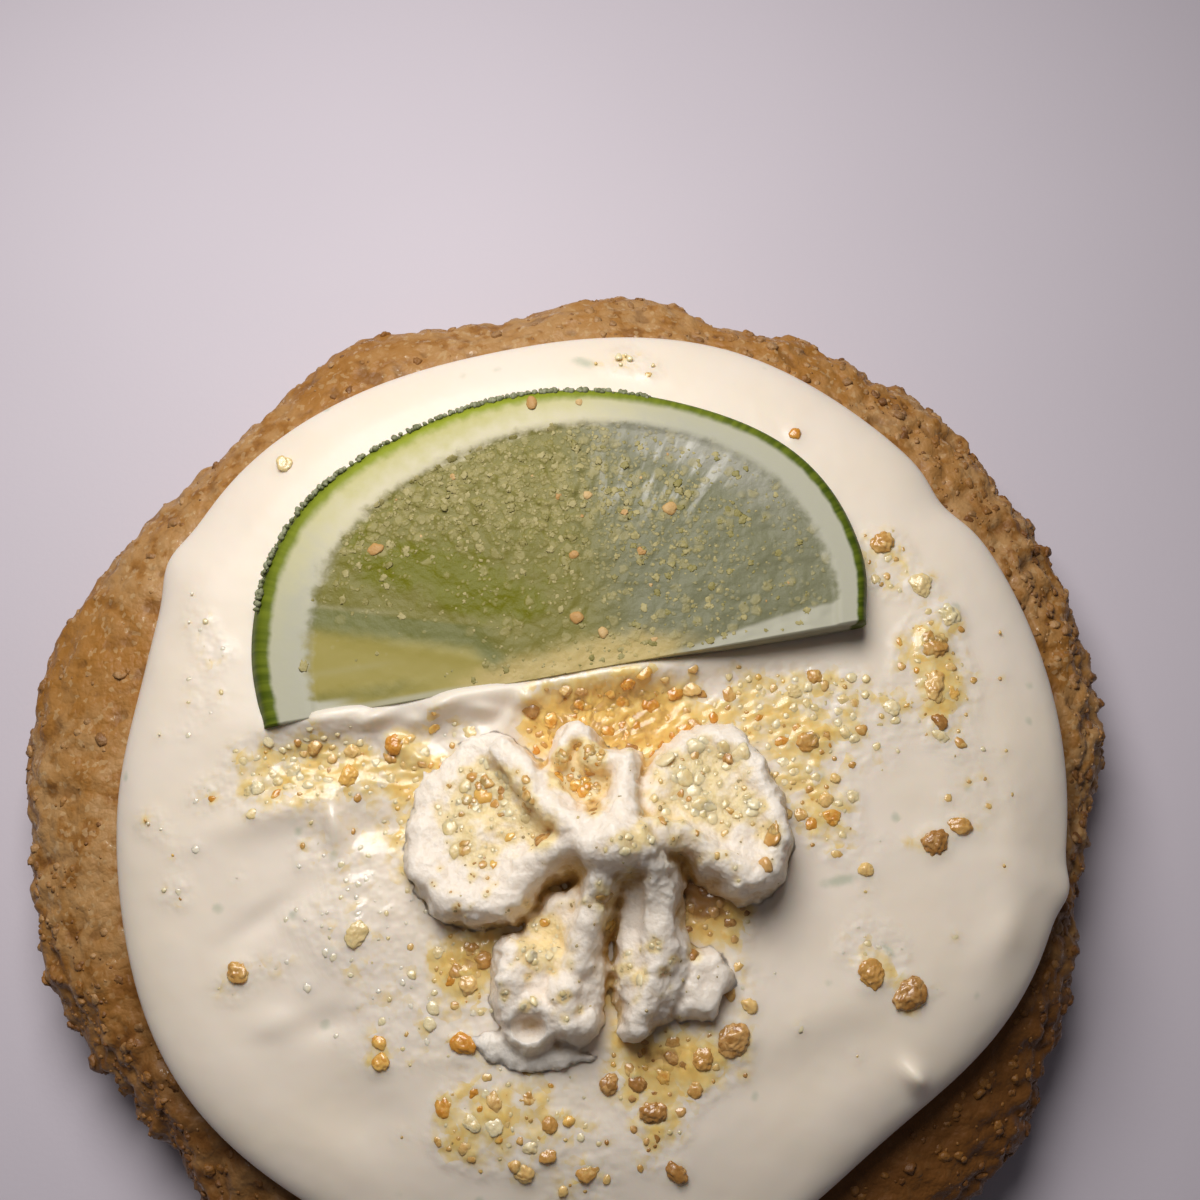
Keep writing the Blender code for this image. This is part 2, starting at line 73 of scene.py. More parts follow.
class Finish:  # one material while it is put together
    def __init__(self, name):
        self.material = bpy.data.materials.new(name)
        self.material.use_nodes = True
        self.tree = self.material.node_tree
        self.tree.nodes.clear()
        place = self.node("TexCoord", output="Object")
        self.where = self.node("VectorMath", {"operation": "SCALE"}, {0: place, "Scale": 1 / mm})

    def node(self, kind, settings=None, sockets=None, output=0):
        made = self.tree.nodes.new("ShaderNode" + kind)
        for key, value in (settings or {}).items():
            setattr(made, key, value)
        for key, value in (sockets or {}).items():
            entry = made.inputs[key]
            if isinstance(value, Socket):
                self.tree.links.new(value.output, entry)
            elif entry.type == "RGBA" and len(value) == 3:
                entry.default_value = (*value, 1)
            else:
                entry.default_value = value
        return Socket(self, made.outputs[output]) if made.outputs else None

    def mask(self, name):  # a number that newPiece keeps on every vertex
        return self.node("Attribute", {"attribute_name": name}, output="Fac")

    def stirred(self, size, reach):  # places moved about by soft noise, so that what is drawn there is ragged
        sockets = {"Vector": self.where, "Scale": 1 / size, "Detail": 3}
        noisy = self.node("TexNoise", None, sockets, 1)
        moved = self.node("VectorMath", {"operation": "SCALE"}, {0: noisy, "Scale": 2 * reach})
        return self.node("VectorMath", {"operation": "ADD"}, {0: self.where, 1: moved})

    def cloud(self, size, detail=2, where=None):  # soft noise from 0 to 1
        sockets = {"Vector": where or self.where, "Scale": 1 / size, "Detail": detail}
        return self.node("TexNoise", sockets=sockets)

    def cells(self, size, output="Distance", where=None):  # distance to the nearest scattered point
        sockets = {"Vector": where or self.where, "Scale": 1 / size}
        return self.node("TexVoronoi", None, sockets, output)

    def between(self, value, low, high, bottom=0.0, top=1.0):
        sockets = {"Value": value, "From Min": low, "From Max": high, "To Min": bottom, "To Max": top}
        return self.node("MapRange", {"interpolation_type": "SMOOTHSTEP"}, sockets)

    def blend(self, share, first, second):  # colours
        return self.node("Mix", {"data_type": "RGBA"}, {0: share, 6: first, 7: second}, 2)

    def tint(self, colour, value, low, high, paint, most=1.0):  # paint over a colour where a value is high
        return self.blend(self.between(value, low, high, 0.0, most), colour, paint)

    def chance(self, size, where=None):  # one number from 0 to 1 for each cell
        return self.node("SeparateColor", None, {0: self.cells(size, "Color", where)})

    def drawnOut(self, size, detail, along, across):  # soft noise that runs in streaks
        where = self.node("CombineXYZ", None, {0: along, 1: across, 2: 0.0})
        return self.cloud(size, detail, where)

    def relief(self, height, depth, under=None):  # depth in millimetres
        sockets = {"Height": height, "Distance": depth * mm, "Strength": 1.0}
        if under:
            sockets["Normal"] = under
        return self.node("Bump", None, sockets)

    def done(self, sockets):
        surface = self.node("BsdfPrincipled", None, sockets)
        self.node("OutputMaterial", None, {0: surface})
        return self.material


# forms that several pieces share

def hump(distance, halfWidth):
    return exp(-((distance / halfWidth) ** 2))


def spot(x, y, middleX, middleY, halfWidth):  # a round hump
    return hump(hypot(x - middleX, y - middleY), halfWidth)


def ripple(x, y, size, layer):  # soft noise over a plane, about -1 to 1
    return noise.noise(Vector((x / size, y / size, layer)))


def angleOf(x, y):  # in degrees
    return atan2(y, x) * 180 / pi


def smooth(value, low, high):  # 0 below low, 1 above high
    share = min(1, max(0, (value - low) / (high - low)))
    return share * share * (3 - 2 * share)


def lobed(angle, lobes):
    total = 0
    for middle, halfWidth, amount in lobes:
        away = (angle - middle + 180) % 360 - 180
        total += amount * hump(away, halfWidth)
    return total


def arc(start, end, steps, first=1):  # a quarter ellipse, level at start and upright at end
    points = []
    for step in range(first, steps + 1):
        turn = pi / 2 * step / steps
        points.append((start[0] + (end[0] - start[0]) * sin(turn), end[1] + (start[1] - end[1]) * cos(turn)))
    return points


def level(start, end, steps, height):  # evenly spaced rings on a level stretch
    return [(start + (end - start) * step / steps, height) for step in range(steps + 1)]


def normals(profile):  # the outward direction at each point of an (r, z) profile
    found = []
    for index in range(len(profile)):
        before = profile[max(0, index - 1)]
        after = profile[min(len(profile) - 1, index + 1)]
        along = Vector((after[0] - before[0], after[1] - before[1])).normalized()
        found.append((-along.y, along.x))
    return found


def ringFaces(rings, steps):  # quads between closed rings, with a fan at both ends
    faces = [(rings * steps, step, (step + 1) % steps) for step in range(steps)]
    for ring in range(rings - 1):
        for step in range(steps):
            here = ring * steps + step
            following = ring * steps + (step + 1) % steps
            faces.append((here, here + steps, following + steps, following))
    last = (rings - 1) * steps
    faces += [(rings * steps + 1, last + (step + 1) % steps, last + step) for step in range(steps)]
    return faces


def newObject(name, data):
    obj = bpy.data.objects.new(name, data)
    bpy.context.scene.collection.objects.link(obj)
    return obj


def newPiece(name, points, faces, material, nodes=(), masks=None):
    mesh = bpy.data.meshes.new(name)
    mesh.from_pydata([(x * mm, y * mm, z * mm) for x, y, z in points], [], faces)
    for key, values in (masks or {}).items():
        layer = mesh.attributes.new(key, "FLOAT", "POINT")
        layer.data.foreach_set("value", values)
    mesh.shade_smooth()
    mesh.materials.append(material)
    obj = newObject(name, mesh)
    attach(obj, "root")
    for node in nodes:
        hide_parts(node)
    print(name, len(faces), "faces")
    return obj


def treeOf(obj):  # in millimetres
    points = [vert.co / mm for vert in obj.data.vertices]
    return BVHTree.FromPolygons(points, [face.vertices for face in obj.data.polygons])


def below(tree, start):  # what is hit first straight down: its place, its normal, its face and the distance
    return tree.ray_cast(start, Vector((0, 0, -1)))


def someSize(draw, smallest, largest, power=1):  # the higher the power, the more small ones
    return smallest + (largest - smallest) * draw.random() ** power


def icosphere(divisions):
    body = bmesh.new()
    bmesh.ops.create_icosphere(body, subdivisions=divisions, radius=1)
    points = [vert.co.copy() for vert in body.verts]
    faces = [tuple(vert.index for vert in face.verts) for face in body.faces]
    body.free()
    return points, faces


grainShapes = [icosphere(divisions) for divisions in (1, 2, 3, 4, 5)]

grain = dict(
    flats=9, nearest=0.72, farthest=1.05, soften=0.02,  # the flats of its block, in shares of its radius
    most=1.25, mean=1.05, tip=0.5, shortest=0.85, longest=1.3, waves=2.3,
    bakedFrom=0.7, lumpWaves=1.3, lumpHeight=0.1, creaseWaves=2.6, creaseHeight=0.06,  # grains baked together
)


def chunk(draw, sharp):  # a block's reach in any direction, from a few random flats
    flats = []
    for side in range(grain["flats"]):
        turn, lift = draw.uniform(0, tau), draw.uniform(-1, 1)
        wide = sqrt(1 - lift * lift)
        away = draw.uniform(grain["nearest"], grain["farthest"])
        flats.append(Vector((wide * cos(turn), wide * sin(turn), lift)) / away)
    soften = grain["soften"]
    return lambda way: (soften + sum(max(0, flat.dot(way)) ** sharp for flat in flats)) ** (-1 / sharp)


def addGrain(points, faces, tones, place, size, seed, divisions,
             flat=0.85, rough=0.13, up=None, sharp=5, angular=0.65):
    corners, sides = grainShapes[divisions - 1]
    draw = Random(seed)
    reach = chunk(draw, sharp)
    shift = Vector((draw.uniform(0, 90), draw.uniform(0, 90), draw.uniform(0, 90)))
    turn = Matrix.Rotation(draw.uniform(0, tau), 3, "Z")
    turn = turn @ Matrix.Rotation(draw.uniform(-grain["tip"], grain["tip"]), 3, "X")
    lean = up.to_track_quat("Z", "Y").to_matrix() if up else Matrix.Identity(3)
    long, tone = draw.uniform(grain["shortest"], grain["longest"]), draw.random()
    start = len(points)
    for corner in corners:
        swell = 1 + angular * (min(grain["most"], reach(corner)) - grain["mean"])
        swell += rough * noise.noise(corner * grain["waves"] + shift)
        if size > grain["bakedFrom"]:
            lump = noise.noise(corner * size * grain["lumpWaves"] + shift)
            crease = abs(noise.noise(corner * size * grain["creaseWaves"] + shift))
            swell += grain["lumpHeight"] * lump + grain["creaseHeight"] * crease
        out = turn @ Vector((corner.x * long, corner.y, corner.z))
        out = lean @ Vector((out.x, out.y, out.z * flat))
        points.append(Vector(place) + out * swell * size / 2)
        tones.append(tone)
    faces += [tuple(start + corner for corner in side) for side in sides]


# the cookie

cookie = dict(
    radius=53.5, top=14.0, rimHeight=8.0, foot=49.0, shelf=44.0, hidden=36.0, steps=900,
    lobes=[(40, 30, 2.1), (72, 4, -1.7), (83, 9, 0.4), (100, 8, -2.0), (117, 6, 1.2), (134, 16, -2.0),
           (170, 14, 1.9), (199, 6, 0.8), (222, 16, -2.8), (268, 18, 0.6), (292, 14, -1.0),
           (318, 12, 0.8), (333, 6, -1.0), (348, 8, -2.6), (357, 4, -1.6)],
    cragPlaces=[(32, 42, 1.0), (222, 30, 0.9), (330, 30, 0.5)], cragSize=4.2, cragDepth=0.8,
    lumpSizes=[(3.2, 0.52), (1.5, 0.34), (0.75, 0.16), (0.42, 0.07)],  # size and height of its grains
    pitSize=2.1, pitDepth=0.5, lumpPush=0.36, lumpLeast=0.03, crumbledMost=1.4, jagged=0.6, jagSize=1.8,
    underCream=1.5,  # how far the cream lies over the start of the open edge
    gilt=[(62, 11, 0.8), (120, 12, 0.8), (165, 9, 0.9), (206, 10, 0.6), (16, 9, 0.6)],  # more golden there
    paintedShade=[(316, 32, 1.3), (30, 18, 0.3), (224, 26, 0.75), (118, 22, 0.15)],  # painted shade: browner, darker where the crust lies in shade, most under the cream's rim at the lower right
    beige=(0.45, 0.255, 0.10), gold=(0.36, 0.155, 0.026), brown=(0.19, 0.073, 0.014),
    # the darkest colour is painted shade for the creases between the lumps
    creaseShade=(0.11, 0.04, 0.009), sugar=(0.66, 0.48, 0.27), roughness=0.5, sugarRoughness=0.2, relief=0.16,
)


def cookieRim(angle):
    return cookie["radius"] + lobed(angle, cookie["lobes"])


def cookieCrag(point, depth):
    size = cookie["cragSize"]
    return depth * (noise.noise(point / size) + 0.6 * noise.noise(point / (0.45 * size)))


def cookieLumps(point):  # rounded crumbs with sharp creases between them, and small pits, about -1 to 1
    total = 0
    for number, (size, height) in enumerate(cookie["lumpSizes"]):
        total += height * (2.4 * abs(noise.noise(point / size + Vector((number * 7.3, 0, 0)))) - 0.5)
    pit = noise.noise(point / cookie["pitSize"] + Vector((3, 31, 9)))
    return total - cookie["pitDepth"] * smooth(pit, 0.28, 0.5)


def cookieFinish():
    make = Finish("cookie")
    crease = make.mask("crease")
    mottle = make.cloud(2.1, 4)
    stirred = make.stirred(0.9, 0.3)
    colour = make.tint(cookie["beige"], make.chance(0.9, stirred), 0.0, 1.0, cookie["gold"], 0.3)
    colour = make.tint(colour, make.cloud(5.5, 4), 0.47, 0.62, cookie["gold"], 0.5)
    colour = make.tint(colour, mottle, 0.5, 0.61, cookie["gold"], 0.75)
    colour = make.tint(colour, mottle * 0.7 + make.cloud(0.7, 3) * 0.3, 0.55, 0.65, cookie["brown"], 0.6)
    colour = make.tint(colour, make.mask("gilt") + (mottle - 0.5) * 1.2, 0.0, 1.1, cookie["gold"])
    # painted shade: browner where the crust lies in shade, with lighter lumps showing through
    colour = make.tint(colour, make.mask("paintedShade") + (mottle - 0.5) * 1.3, 0.0, 1.1, cookie["brown"])
    sugar = make.between(make.chance(0.45, stirred), 0.88, 0.92)
    # fewer sugar grains show where shade is painted
    shown = make.between(make.mask("paintedShade"), 0.0, 0.8, 0.35, 0.04)
    colour = make.blend(sugar * shown, colour, cookie["sugar"])
    # painted shade: darker in the creases between the lumps
    colour = make.blend(make.between(crease, -0.1, 0.4, 0.4, 0.0), colour, cookie["creaseShade"])
    height = make.cells(0.9, where=stirred) * -0.6 + make.cells(0.4, where=stirred) * -0.3 + mottle * -0.6
    return make.done({
        "Base Color": colour, "Specular IOR Level": 0.35,
        "Roughness": make.between(sugar, 0.0, 1.0, cookie["roughness"], cookie["sugarRoughness"]),
        "Normal": make.relief(height, cookie["relief"]),
    })


def makeCookie():
    shelf = (cookie["shelf"], cookie["top"])
    rim = (cookie["radius"], cookie["rimHeight"])
    foot = (cookie["foot"], 0)
    profile = level(cookie["hidden"], cookie["shelf"], 8, cookie["top"])
    profile += arc(shelf, rim, 46) + arc(foot, rim, 26, first=0)[::-1][1:]
    profile += level(cookie["foot"] - 2, cookie["foot"] - 9, 2, 0)
    outward = normals(profile)
    points, crease, paintedShade, gilt = [], [], [], []
    for (radius, height), (out, up) in zip(profile, outward):
        outside = max(0, (radius - cookie["shelf"]) / (cookie["radius"] - cookie["shelf"]))
        shown = smooth(radius, cookie["shelf"] - 4, cookie["shelf"]) * smooth(height, 0.0, 1.2)
        for step in range(cookie["steps"]):
            angle = 360 * step / cookie["steps"]
            turn = radians(angle)
            edge = cookieRim(angle)
            inner = creamEdge(angle) - cookie["underCream"]
            wide = inner + (edge - inner) * outside if outside > 0 else inner * radius / cookie["shelf"]
            z = height
            crumbled = 0.5 + lobed(angle, cookie["cragPlaces"])
            if height > 0 and outside > 0:
                flat = Vector((radius * cos(turn), radius * sin(turn), height))
                depth = cookieCrag(flat, cookie["cragDepth"] * crumbled * min(1, 2 * outside))
                wide += depth * outside
                z += depth * (1 - outside)
            lumps = cookieLumps(Vector((wide * cos(turn), wide * sin(turn), z)))
            loose = cookie["lumpPush"] * min(cookie["crumbledMost"], crumbled)
            push = shown * lumps * (loose + cookie["lumpLeast"])
            jag = Vector((wide * cos(turn), wide * sin(turn), z)) / cookie["jagSize"]
            jag = noise.noise(jag + Vector((5, 5, 5)))
            push += cookie["jagged"] * shown * smooth(outside, 0.5, 1) * jag
            wide += push * out
            z = max(0, z + push * up)
            points.append((wide * cos(turn), wide * sin(turn), z))
            crease.append(0.5 + lumps if shown > 0.2 else 0.5)
            # how much shade is painted on the crust at this angle
            paintedShade.append(lobed(angle, cookie["paintedShade"]))
            gilt.append(lobed(angle, cookie["gilt"]))
    points += [(0, 0, cookie["top"]), (0, 0, 0)]
    crease += [0.5, 0.5]
    paintedShade += [0, 0]
    gilt += [0, 0]
    faces = ringFaces(len(profile), cookie["steps"])
    masks = {"crease": crease, "paintedShade": paintedShade, "gilt": gilt}
    return newPiece("cookie_crust", points, faces, cookieFinish(), ["cookie_base"], masks)


# the lime cream

cream = dict(
    radius=44.9, centre=(2.3, 0.3), edgeHeight=17.0, edgeTop=20.6, dome=1.0, undercut=2.2, edgeWidth=6.4,
    gap=0.35, steps=680, swellSize=14, swell=0.25, gritSize=0.8, grit=0.4,
    lobes=[(36, 4, -1.0), (68, 14, 0.7), (100, 14, -0.6), (138, 20, 1.6), (152, 4, 1.0), (168, 12, -0.8),
           (218, 20, 1.6), (311, 19, -3.1), (347, 2.5, 0.8)],
    # spread and dragged marks: x, y, direction in degrees, half length, half width, height
    marks=[(-25.4, -3.6, 17, 6.5, 1.8, 0.9), (-21.0, -5.2, -75, 1.9, 1.0, 1.2),
           (-17.6, -5.4, 10, 3.2, 1.3, -0.5), (-27.2, -13.4, 34, 4.2, 1.2, -0.45),
           (-25.8, -22.4, 10, 2.2, 1.3, 0.4), (-20.9, -22.4, 15, 2.2, 1.2, -0.4),
           (-17.8, -29.6, -20, 5.0, 3.2, -0.6), (-19.4, -14.3, 0, 6.0, 4.0, 0.5),
           (20.4, -25.4, 24, 9.0, 3.4, -0.5), (31.0, -27.2, -50, 1.6, 0.9, 1.8),
           (24.0, -21.5, 24, 9.0, 2.6, 0.4), (39.6, -14.8, 60, 3.0, 1.8, 0.5),
           (-22.0, 4.7, 8, 6.0, 1.9, 2.2), (-9.0, 6.5, 8, 7.0, 1.8, 2.3), (5.0, 8.8, 8, 9.0, 1.6, 2.5),
           (-17.5, 4.4, 20, 1.3, 0.6, 0.9), (-14.0, 4.2, -10, 1.0, 0.7, 0.6),
           (-11.6, 5.4, 30, 1.5, 0.6, 0.9), (-7.6, 5.2, 0, 1.6, 0.6, 0.8), (-3.6, 6.2, 12, 1.2, 0.6, 0.9),
           (-5.4, 4.6, 50, 1.4, 0.5, 0.6), (-9.0, -28.0, 15, 5.0, 2.0, -0.3),
           (-6.4, 3.2, 20, 4.0, 1.4, 0.9), (-14.6, 1.6, -30, 2.6, 0.9, 0.7)],
    # where the top is lower towards the rim, far in and close to the edge: direction, reach, depth
    slump=[(272, 34, 2.2), (5, 20, 0.6), (200, 26, 0.6)],
    droop=[(352, 9, 1.3), (140, 24, 0.7)],
    white=(0.86, 0.765, 0.655), butter=(0.84, 0.735, 0.59), yellow=(0.84, 0.64, 0.28),
    # brown is partly the colour of soaked crumbs and partly painted shade round the whipped cream's foot
    amber=(0.86, 0.56, 0.16), brown=(0.40, 0.20, 0.05), fleck=(0.40, 0.46, 0.33), roughness=0.42, relief=0.2,
)


def creamEdge(angle):
    turn = radians(angle)
    along = cream["centre"][0] * cos(turn) + cream["centre"][1] * sin(turn)
    offset = cream["centre"][0] ** 2 + cream["centre"][1] ** 2
    return along + sqrt(along**2 - offset + cream["radius"]**2) + lobed(angle, cream["lobes"])


def oblong(x, y, middleX, middleY, direction, length, width):
    turn = radians(direction)
    along = (x - middleX) * cos(turn) + (y - middleY) * sin(turn)
    across = (y - middleY) * cos(turn) - (x - middleX) * sin(turn)
    return hump(along, length) * hump(across, width)


def creamHeight(x, y):
    total = cream["edgeTop"] + cream["dome"] * (1 - (hypot(x, y) / cream["radius"]) ** 2)
    total += cream["swell"] * ripple(x, y, cream["swellSize"], 0.3)
    angle = angleOf(x, y)
    inside = hypot(x, y) - creamEdge(angle)
    total -= lobed(angle, cream["slump"]) * smooth(inside, -13, -2)
    total -= lobed(angle, cream["droop"]) * smooth(inside, -7, 1)
    for markX, markY, direction, length, width, height in cream["marks"]:
        if abs(x - markX) < 2.5 * length and abs(y - markY) < 2.5 * length:
            total += height * oblong(x, y, markX, markY, direction, length, width)
    return total


# where crumbs lie on the cream. Large ones are those of the solid: x, y, scatter, count, largest, kind

largeCrumbs = [
    (14.6, -23.7, 0, 1, 2.9, "brown"), (12.0, -25.4, 0, 1, 2.0, "golden"),
    (33.4, -6.6, 0, 1, 2.4, "brown"), (33.5, -8.4, 0, 1, 1.9, "brown"), (35.8, -5.1, 0, 1, 1.6, "golden"),
    (27.1, -18.2, 0, 1, 2.4, "golden"), (30.4, -19.7, 0, 1, 2.5, "brown"),
    (27.1, -9.1, 0, 1, 1.3, "golden"), (24.1, -4.4, 0, 1, 1.4, "orange"),
    (22.2, 33.1, 0, 1, 1.2, "orange"), (-28.1, 30.2, 0, 1, 1.5, "pale"),
    (-29.2, -18.1, 0, 1, 2.0, "golden"), (-16.4, -23.9, 0, 1, 1.4, "orange"),
    (-16.2, -25.7, 0, 1, 1.6, "orange"), (-8.9, -24.1, 0, 1, 1.9, "orange"),
    (-18.7, -14.8, 0, 1, 1.8, "pale"), (-19.9, -0.7, 0, 1, 2.0, "orange"),
    (-15.9, 2.2, 0, 1, 1.6, "orange"), (7.7, -29.8, 0, 1, 2.2, "brown"), (8.0, -32.0, 0, 1, 1.7, "brown"),
    (9.6, -34.7, 0, 1, 1.7, "brown"), (0.3, -30.4, 0, 1, 1.1, "orange"),
    (5.4, -27.4, 2.6, 7, 1.7, "brown"), (29.9, 21.6, 1.4, 2, 2.1, "golden"),
    (32.6, 18.6, 1.6, 3, 2.2, "pale"), (36.8, 15.7, 1.6, 3, 2.0, "pale"),
    (34.4, 10.0, 2.6, 7, 2.3, "golden"), (34.6, 5.2, 0.8, 2, 1.8, "brown"),
    (22.0, 1.8, 2.2, 6, 1.9, "golden"), (-25.4, 0.4, 4.4, 8, 1.6, "pale"),
    (-8.4, -17.6, 1.6, 3, 1.8, "golden"), (-2.6, -32.6, 2.4, 4, 1.6, "golden"),
    (-7.0, -30.0, 2.4, 4, 1.5, "pale"), (-0.5, 5.2, 2.6, 6, 1.6, "orange"),
    (5.0, 5.4, 3.0, 8, 1.6, "orange"), (11.5, 7.0, 3.4, 7, 1.5, "golden"),
    (24.5, 7.0, 4.0, 6, 1.3, "pale"), (-12.0, -20.0, 4.0, 3, 1.2, "pale"),
    (-14.6, -7.4, 2.6, 4, 1.7, "golden"), (29.6, 6.6, 2.4, 4, 1.5, "pale"),
    (15.0, -20.6, 2.2, 3, 1.4, "golden"), (-21.0, 2.6, 2.4, 4, 1.5, "golden"),
    (8.6, -24.8, 1.6, 3, 1.6, "brown"), (24.6, -2.6, 2.0, 3, 1.4, "golden"),
    (2.0, -35.6, 2.6, 4, 1.5, "golden"),
]
crumbSeed = 41
crumbSunk = 0.35
shrink = 0.4  # how much smaller than the first the last of a group is
sunkShares = dict(clear=(0.62, 0.8), orange=(0.48, 0.74))  # how much of a fine crumb lies in the cream
sunkOther = (0.46, 0.7)
rimFree = 3.5  # the fine crumbs keep off the cream's rim

# finer ones: x, y, reach along X and Y, count, smallest, largest, and the share of each kind
fineCrumbs = [
    (4.1, 4.2, 5.6, 2.8, 520, 0.5, 1.6, dict(orange=7, golden=3, brown=1)),
    (20.6, 5.6, 8.0, 3.4, 230, 0.5, 1.5, dict(pale=6, golden=3, orange=1)),
    (34.4, 9.4, 2.0, 4.2, 130, 0.5, 1.7, dict(golden=5, pale=2, orange=2)),
    (-12.5, -1.5, 4.0, 4.0, 60, 0.5, 1.6, dict(golden=4, pale=3, orange=1)),
    (22.6, -1.0, 2.4, 4.0, 40, 0.5, 1.7, dict(golden=4, pale=2, orange=1)),
    (30.6, 19.6, 2.6, 2.6, 22, 0.5, 1.3, dict(golden=3, pale=4)),
    (-23.6, -0.3, 6.6, 2.8, 160, 0.5, 1.3, dict(pale=8, golden=3, orange=1)),
    (-13.3, -3.5, 4.8, 5.6, 70, 0.5, 1.3, dict(pale=6, golden=3, orange=1)),
    (-9.5, -17.3, 2.7, 2.6, 44, 0.5, 1.6, dict(golden=4, orange=2, pale=1)),
    (9.1, -25.6, 4.6, 2.2, 90, 0.5, 1.7, dict(golden=4, brown=3, orange=2)),
    (8.0, -30.7, 1.6, 1.6, 14, 0.4, 1.2, dict(brown=5, golden=1)),
    (-5.5, -30.2, 4.8, 3.6, 70, 0.4, 1.7, dict(pale=4, golden=4, orange=1)),
    (-9.1, -31.9, 1.6, 1.4, 14, 0.5, 1.3, dict(golden=3)),
    (-18.2, -13.7, 4.8, 4.8, 60, 0.4, 1.1, dict(clear=7, pale=2)),
    (-12.0, -22.0, 6.0, 4.0, 30, 0.4, 1.0, dict(clear=5, pale=3)),
    (24.2, -3.3, 2.4, 1.9, 24, 0.5, 1.3, dict(pale=4, golden=2, orange=1)),
    (27.3, -15.2, 2.4, 2.0, 10, 0.4, 1.2, dict(clear=3, pale=2)),
    (21.4, -0.2, 3.2, 5.6, 46, 0.5, 1.5, dict(pale=5, golden=3)),
    (13.3, -12.7, 3.0, 2.6, 36, 0.5, 1.3, dict(golden=3, brown=2)),
    (4.8, -14.5, 1.4, 4.4, 24, 0.5, 1.2, dict(golden=3, orange=2)),
    (2.0, -33.0, 9.0, 3.0, 22, 0.4, 1.0, dict(golden=2, pale=2, brown=1)),
    (0.0, -8.0, 34.0, 30.0, 170, 0.25, 0.7, dict(golden=3, brown=1, clear=4, pale=4)),
    (38.0, 2.0, 3.5, 12.0, 22, 0.35, 0.9, dict(golden=2, pale=2, brown=1)),
    (12.9, 41.0, 9.0, 1.4, 14, 0.35, 0.9, dict(pale=3, golden=2)),
    (-34.6, 4.0, 3.2, 16.0, 20, 0.3, 0.9, dict(clear=4, pale=3, orange=1)),
]
fineSeed = 7


def crumbDraws():  # the same draws as the solids' own crumbs
    draw = Random(crumbSeed)
    for x, y, scatter, count, largest, kind in largeCrumbs:
        for index in range(count):
            turn = draw.uniform(0, tau)
            away = scatter * sqrt(draw.random())
            yield x + away * cos(turn), y + away * sin(turn), largest * (1 - shrink * index / count), kind


def placedCrumbs(solid, limeTree, swirlTree):
    ground = treeOf(solid)
    placed = []
    for x, y, size, kind in crumbDraws():
        hit = below(ground, Vector((x, y, 60)))[0]
        if hit and hit.z > creamHeight(x, y) + 0.25 * size:
            placed.append((x, y, size, kind, crumbSunk))
    draw = Random(fineSeed)
    for x, y, reachX, reachY, count, smallest, largest, shares in fineCrumbs:
        kinds = list(shares)
        for index in range(count):
            spotX, spotY = draw.gauss(x, reachX * 0.6), draw.gauss(y, reachY * 0.6)
            size = someSize(draw, smallest, largest, 2.2)
            kind = draw.choices(kinds, [shares[name] for name in kinds])[0]
            sunk = draw.uniform(*sunkShares.get(kind, sunkOther))
            above = Vector((spotX, spotY, 60))
            out = hypot(spotX, spotY) > creamEdge(angleOf(spotX, spotY)) - rimFree
            covered = below(limeTree, above)[0] or below(swirlTree, above)[0]
            apart = 0.2 if kind == "orange" else 0.34
            close = any(hypot(spotX - a, spotY - b) < apart * (size + other)
                        for a, b, other, name, deep in placed)
            if not out and not covered and not close:
                placed.append((spotX, spotY, size, kind, sunk))
    return placed


class Spots:  # finds what lies near a point, from squares of a few millimetres
    def __init__(self, items, cell=3.0):
        self.cell = cell
        self.squares = {}
        for item in items:
            key = (int(item[0] // cell), int(item[1] // cell))
            self.squares.setdefault(key, []).append(item)

    def near(self, x, y):
        column, row = int(x // self.cell), int(y // self.cell)
        for a in (column - 1, column, column + 1):
            for b in (row - 1, row, row + 1):
                yield from self.squares.get((a, b), ())


# stains that the crumbs leave in the cream, and painted shade, stained brown, in the crevices at the whipped
# cream's foot and under its fan: x, y, half width, amount
stainsAndShade = [(3.6, 4.2, 5.2, 0.55), (-1.5, 4.6, 3.6, 0.4), (9.4, 5.4, 3.6, 0.35), (21.5, 3.0, 4.4, 0.16),
          (33.6, 9.0, 3.0, 0.12), (-24.0, 0.0, 5.6, 0.14), (-9.4, -17.2, 2.4, 0.45), (9.0, -25.4, 3.4, 0.5),
          (-9.0, -31.0, 2.6, 0.3), (12.6, -12.2, 3.4, 1.0), (4.4, -13.6, 1.4, 1.1), (11.0, -10.8, 2.6, 1.2),
          (3.9, -20.0, 1.3, 0.9), (5.2, -23.8, 1.6, 0.8), (-2.0, -11.4, 1.8, 0.9), (-6.6, -15.2, 2.4, 0.6),
          (-14.0, -1.0, 3.0, 0.2), (-15.0, -6.5, 1.6, 0.2), (-3.0, -31.0, 3.0, 0.22), (-12.5, -5.0, 4.6, 0.1)]

# flecks of zest under the cream's surface: x, y, direction in degrees, half length, half width
zestFlecks = [(1.3, 41.0, -20, 1.5, 0.7), (24.6, -10.0, 10, 2.0, 0.6), (28.7, -16.1, -50, 1.1, 0.35)]


crumbMark = dict(
    reach=3, rise=0.07, riseAt=0.9, riseWidth=0.6, wet=0.5, wetWidth=1.6,
    stainStrong=0.42, stain=0.26, stainBeyond=0.35, stainMost=0.85,
)


def creamCrumbEffect(spots, x, y):  # the rise round each crumb, its stain, and how wet the place is
    lift = stain = wet = 0
    for a, b, size, kind, sunk in spots.near(x, y):
        away = hypot(x - a, y - b)
        if away < crumbMark["reach"]:
            edge = away / (0.5 * size)
            lift += crumbMark["rise"] * size * hump(edge - crumbMark["riseAt"], crumbMark["riseWidth"])
            wet += crumbMark["wet"] * hump(away, crumbMark["wetWidth"])
            if kind != "clear":
                strength = crumbMark["stainStrong" if kind in ("orange", "brown") else "stain"]
                stain += strength * hump(away, 0.5 * size + crumbMark["stainBeyond"])
    return lift, min(crumbMark["stainMost"], stain), min(1, wet)


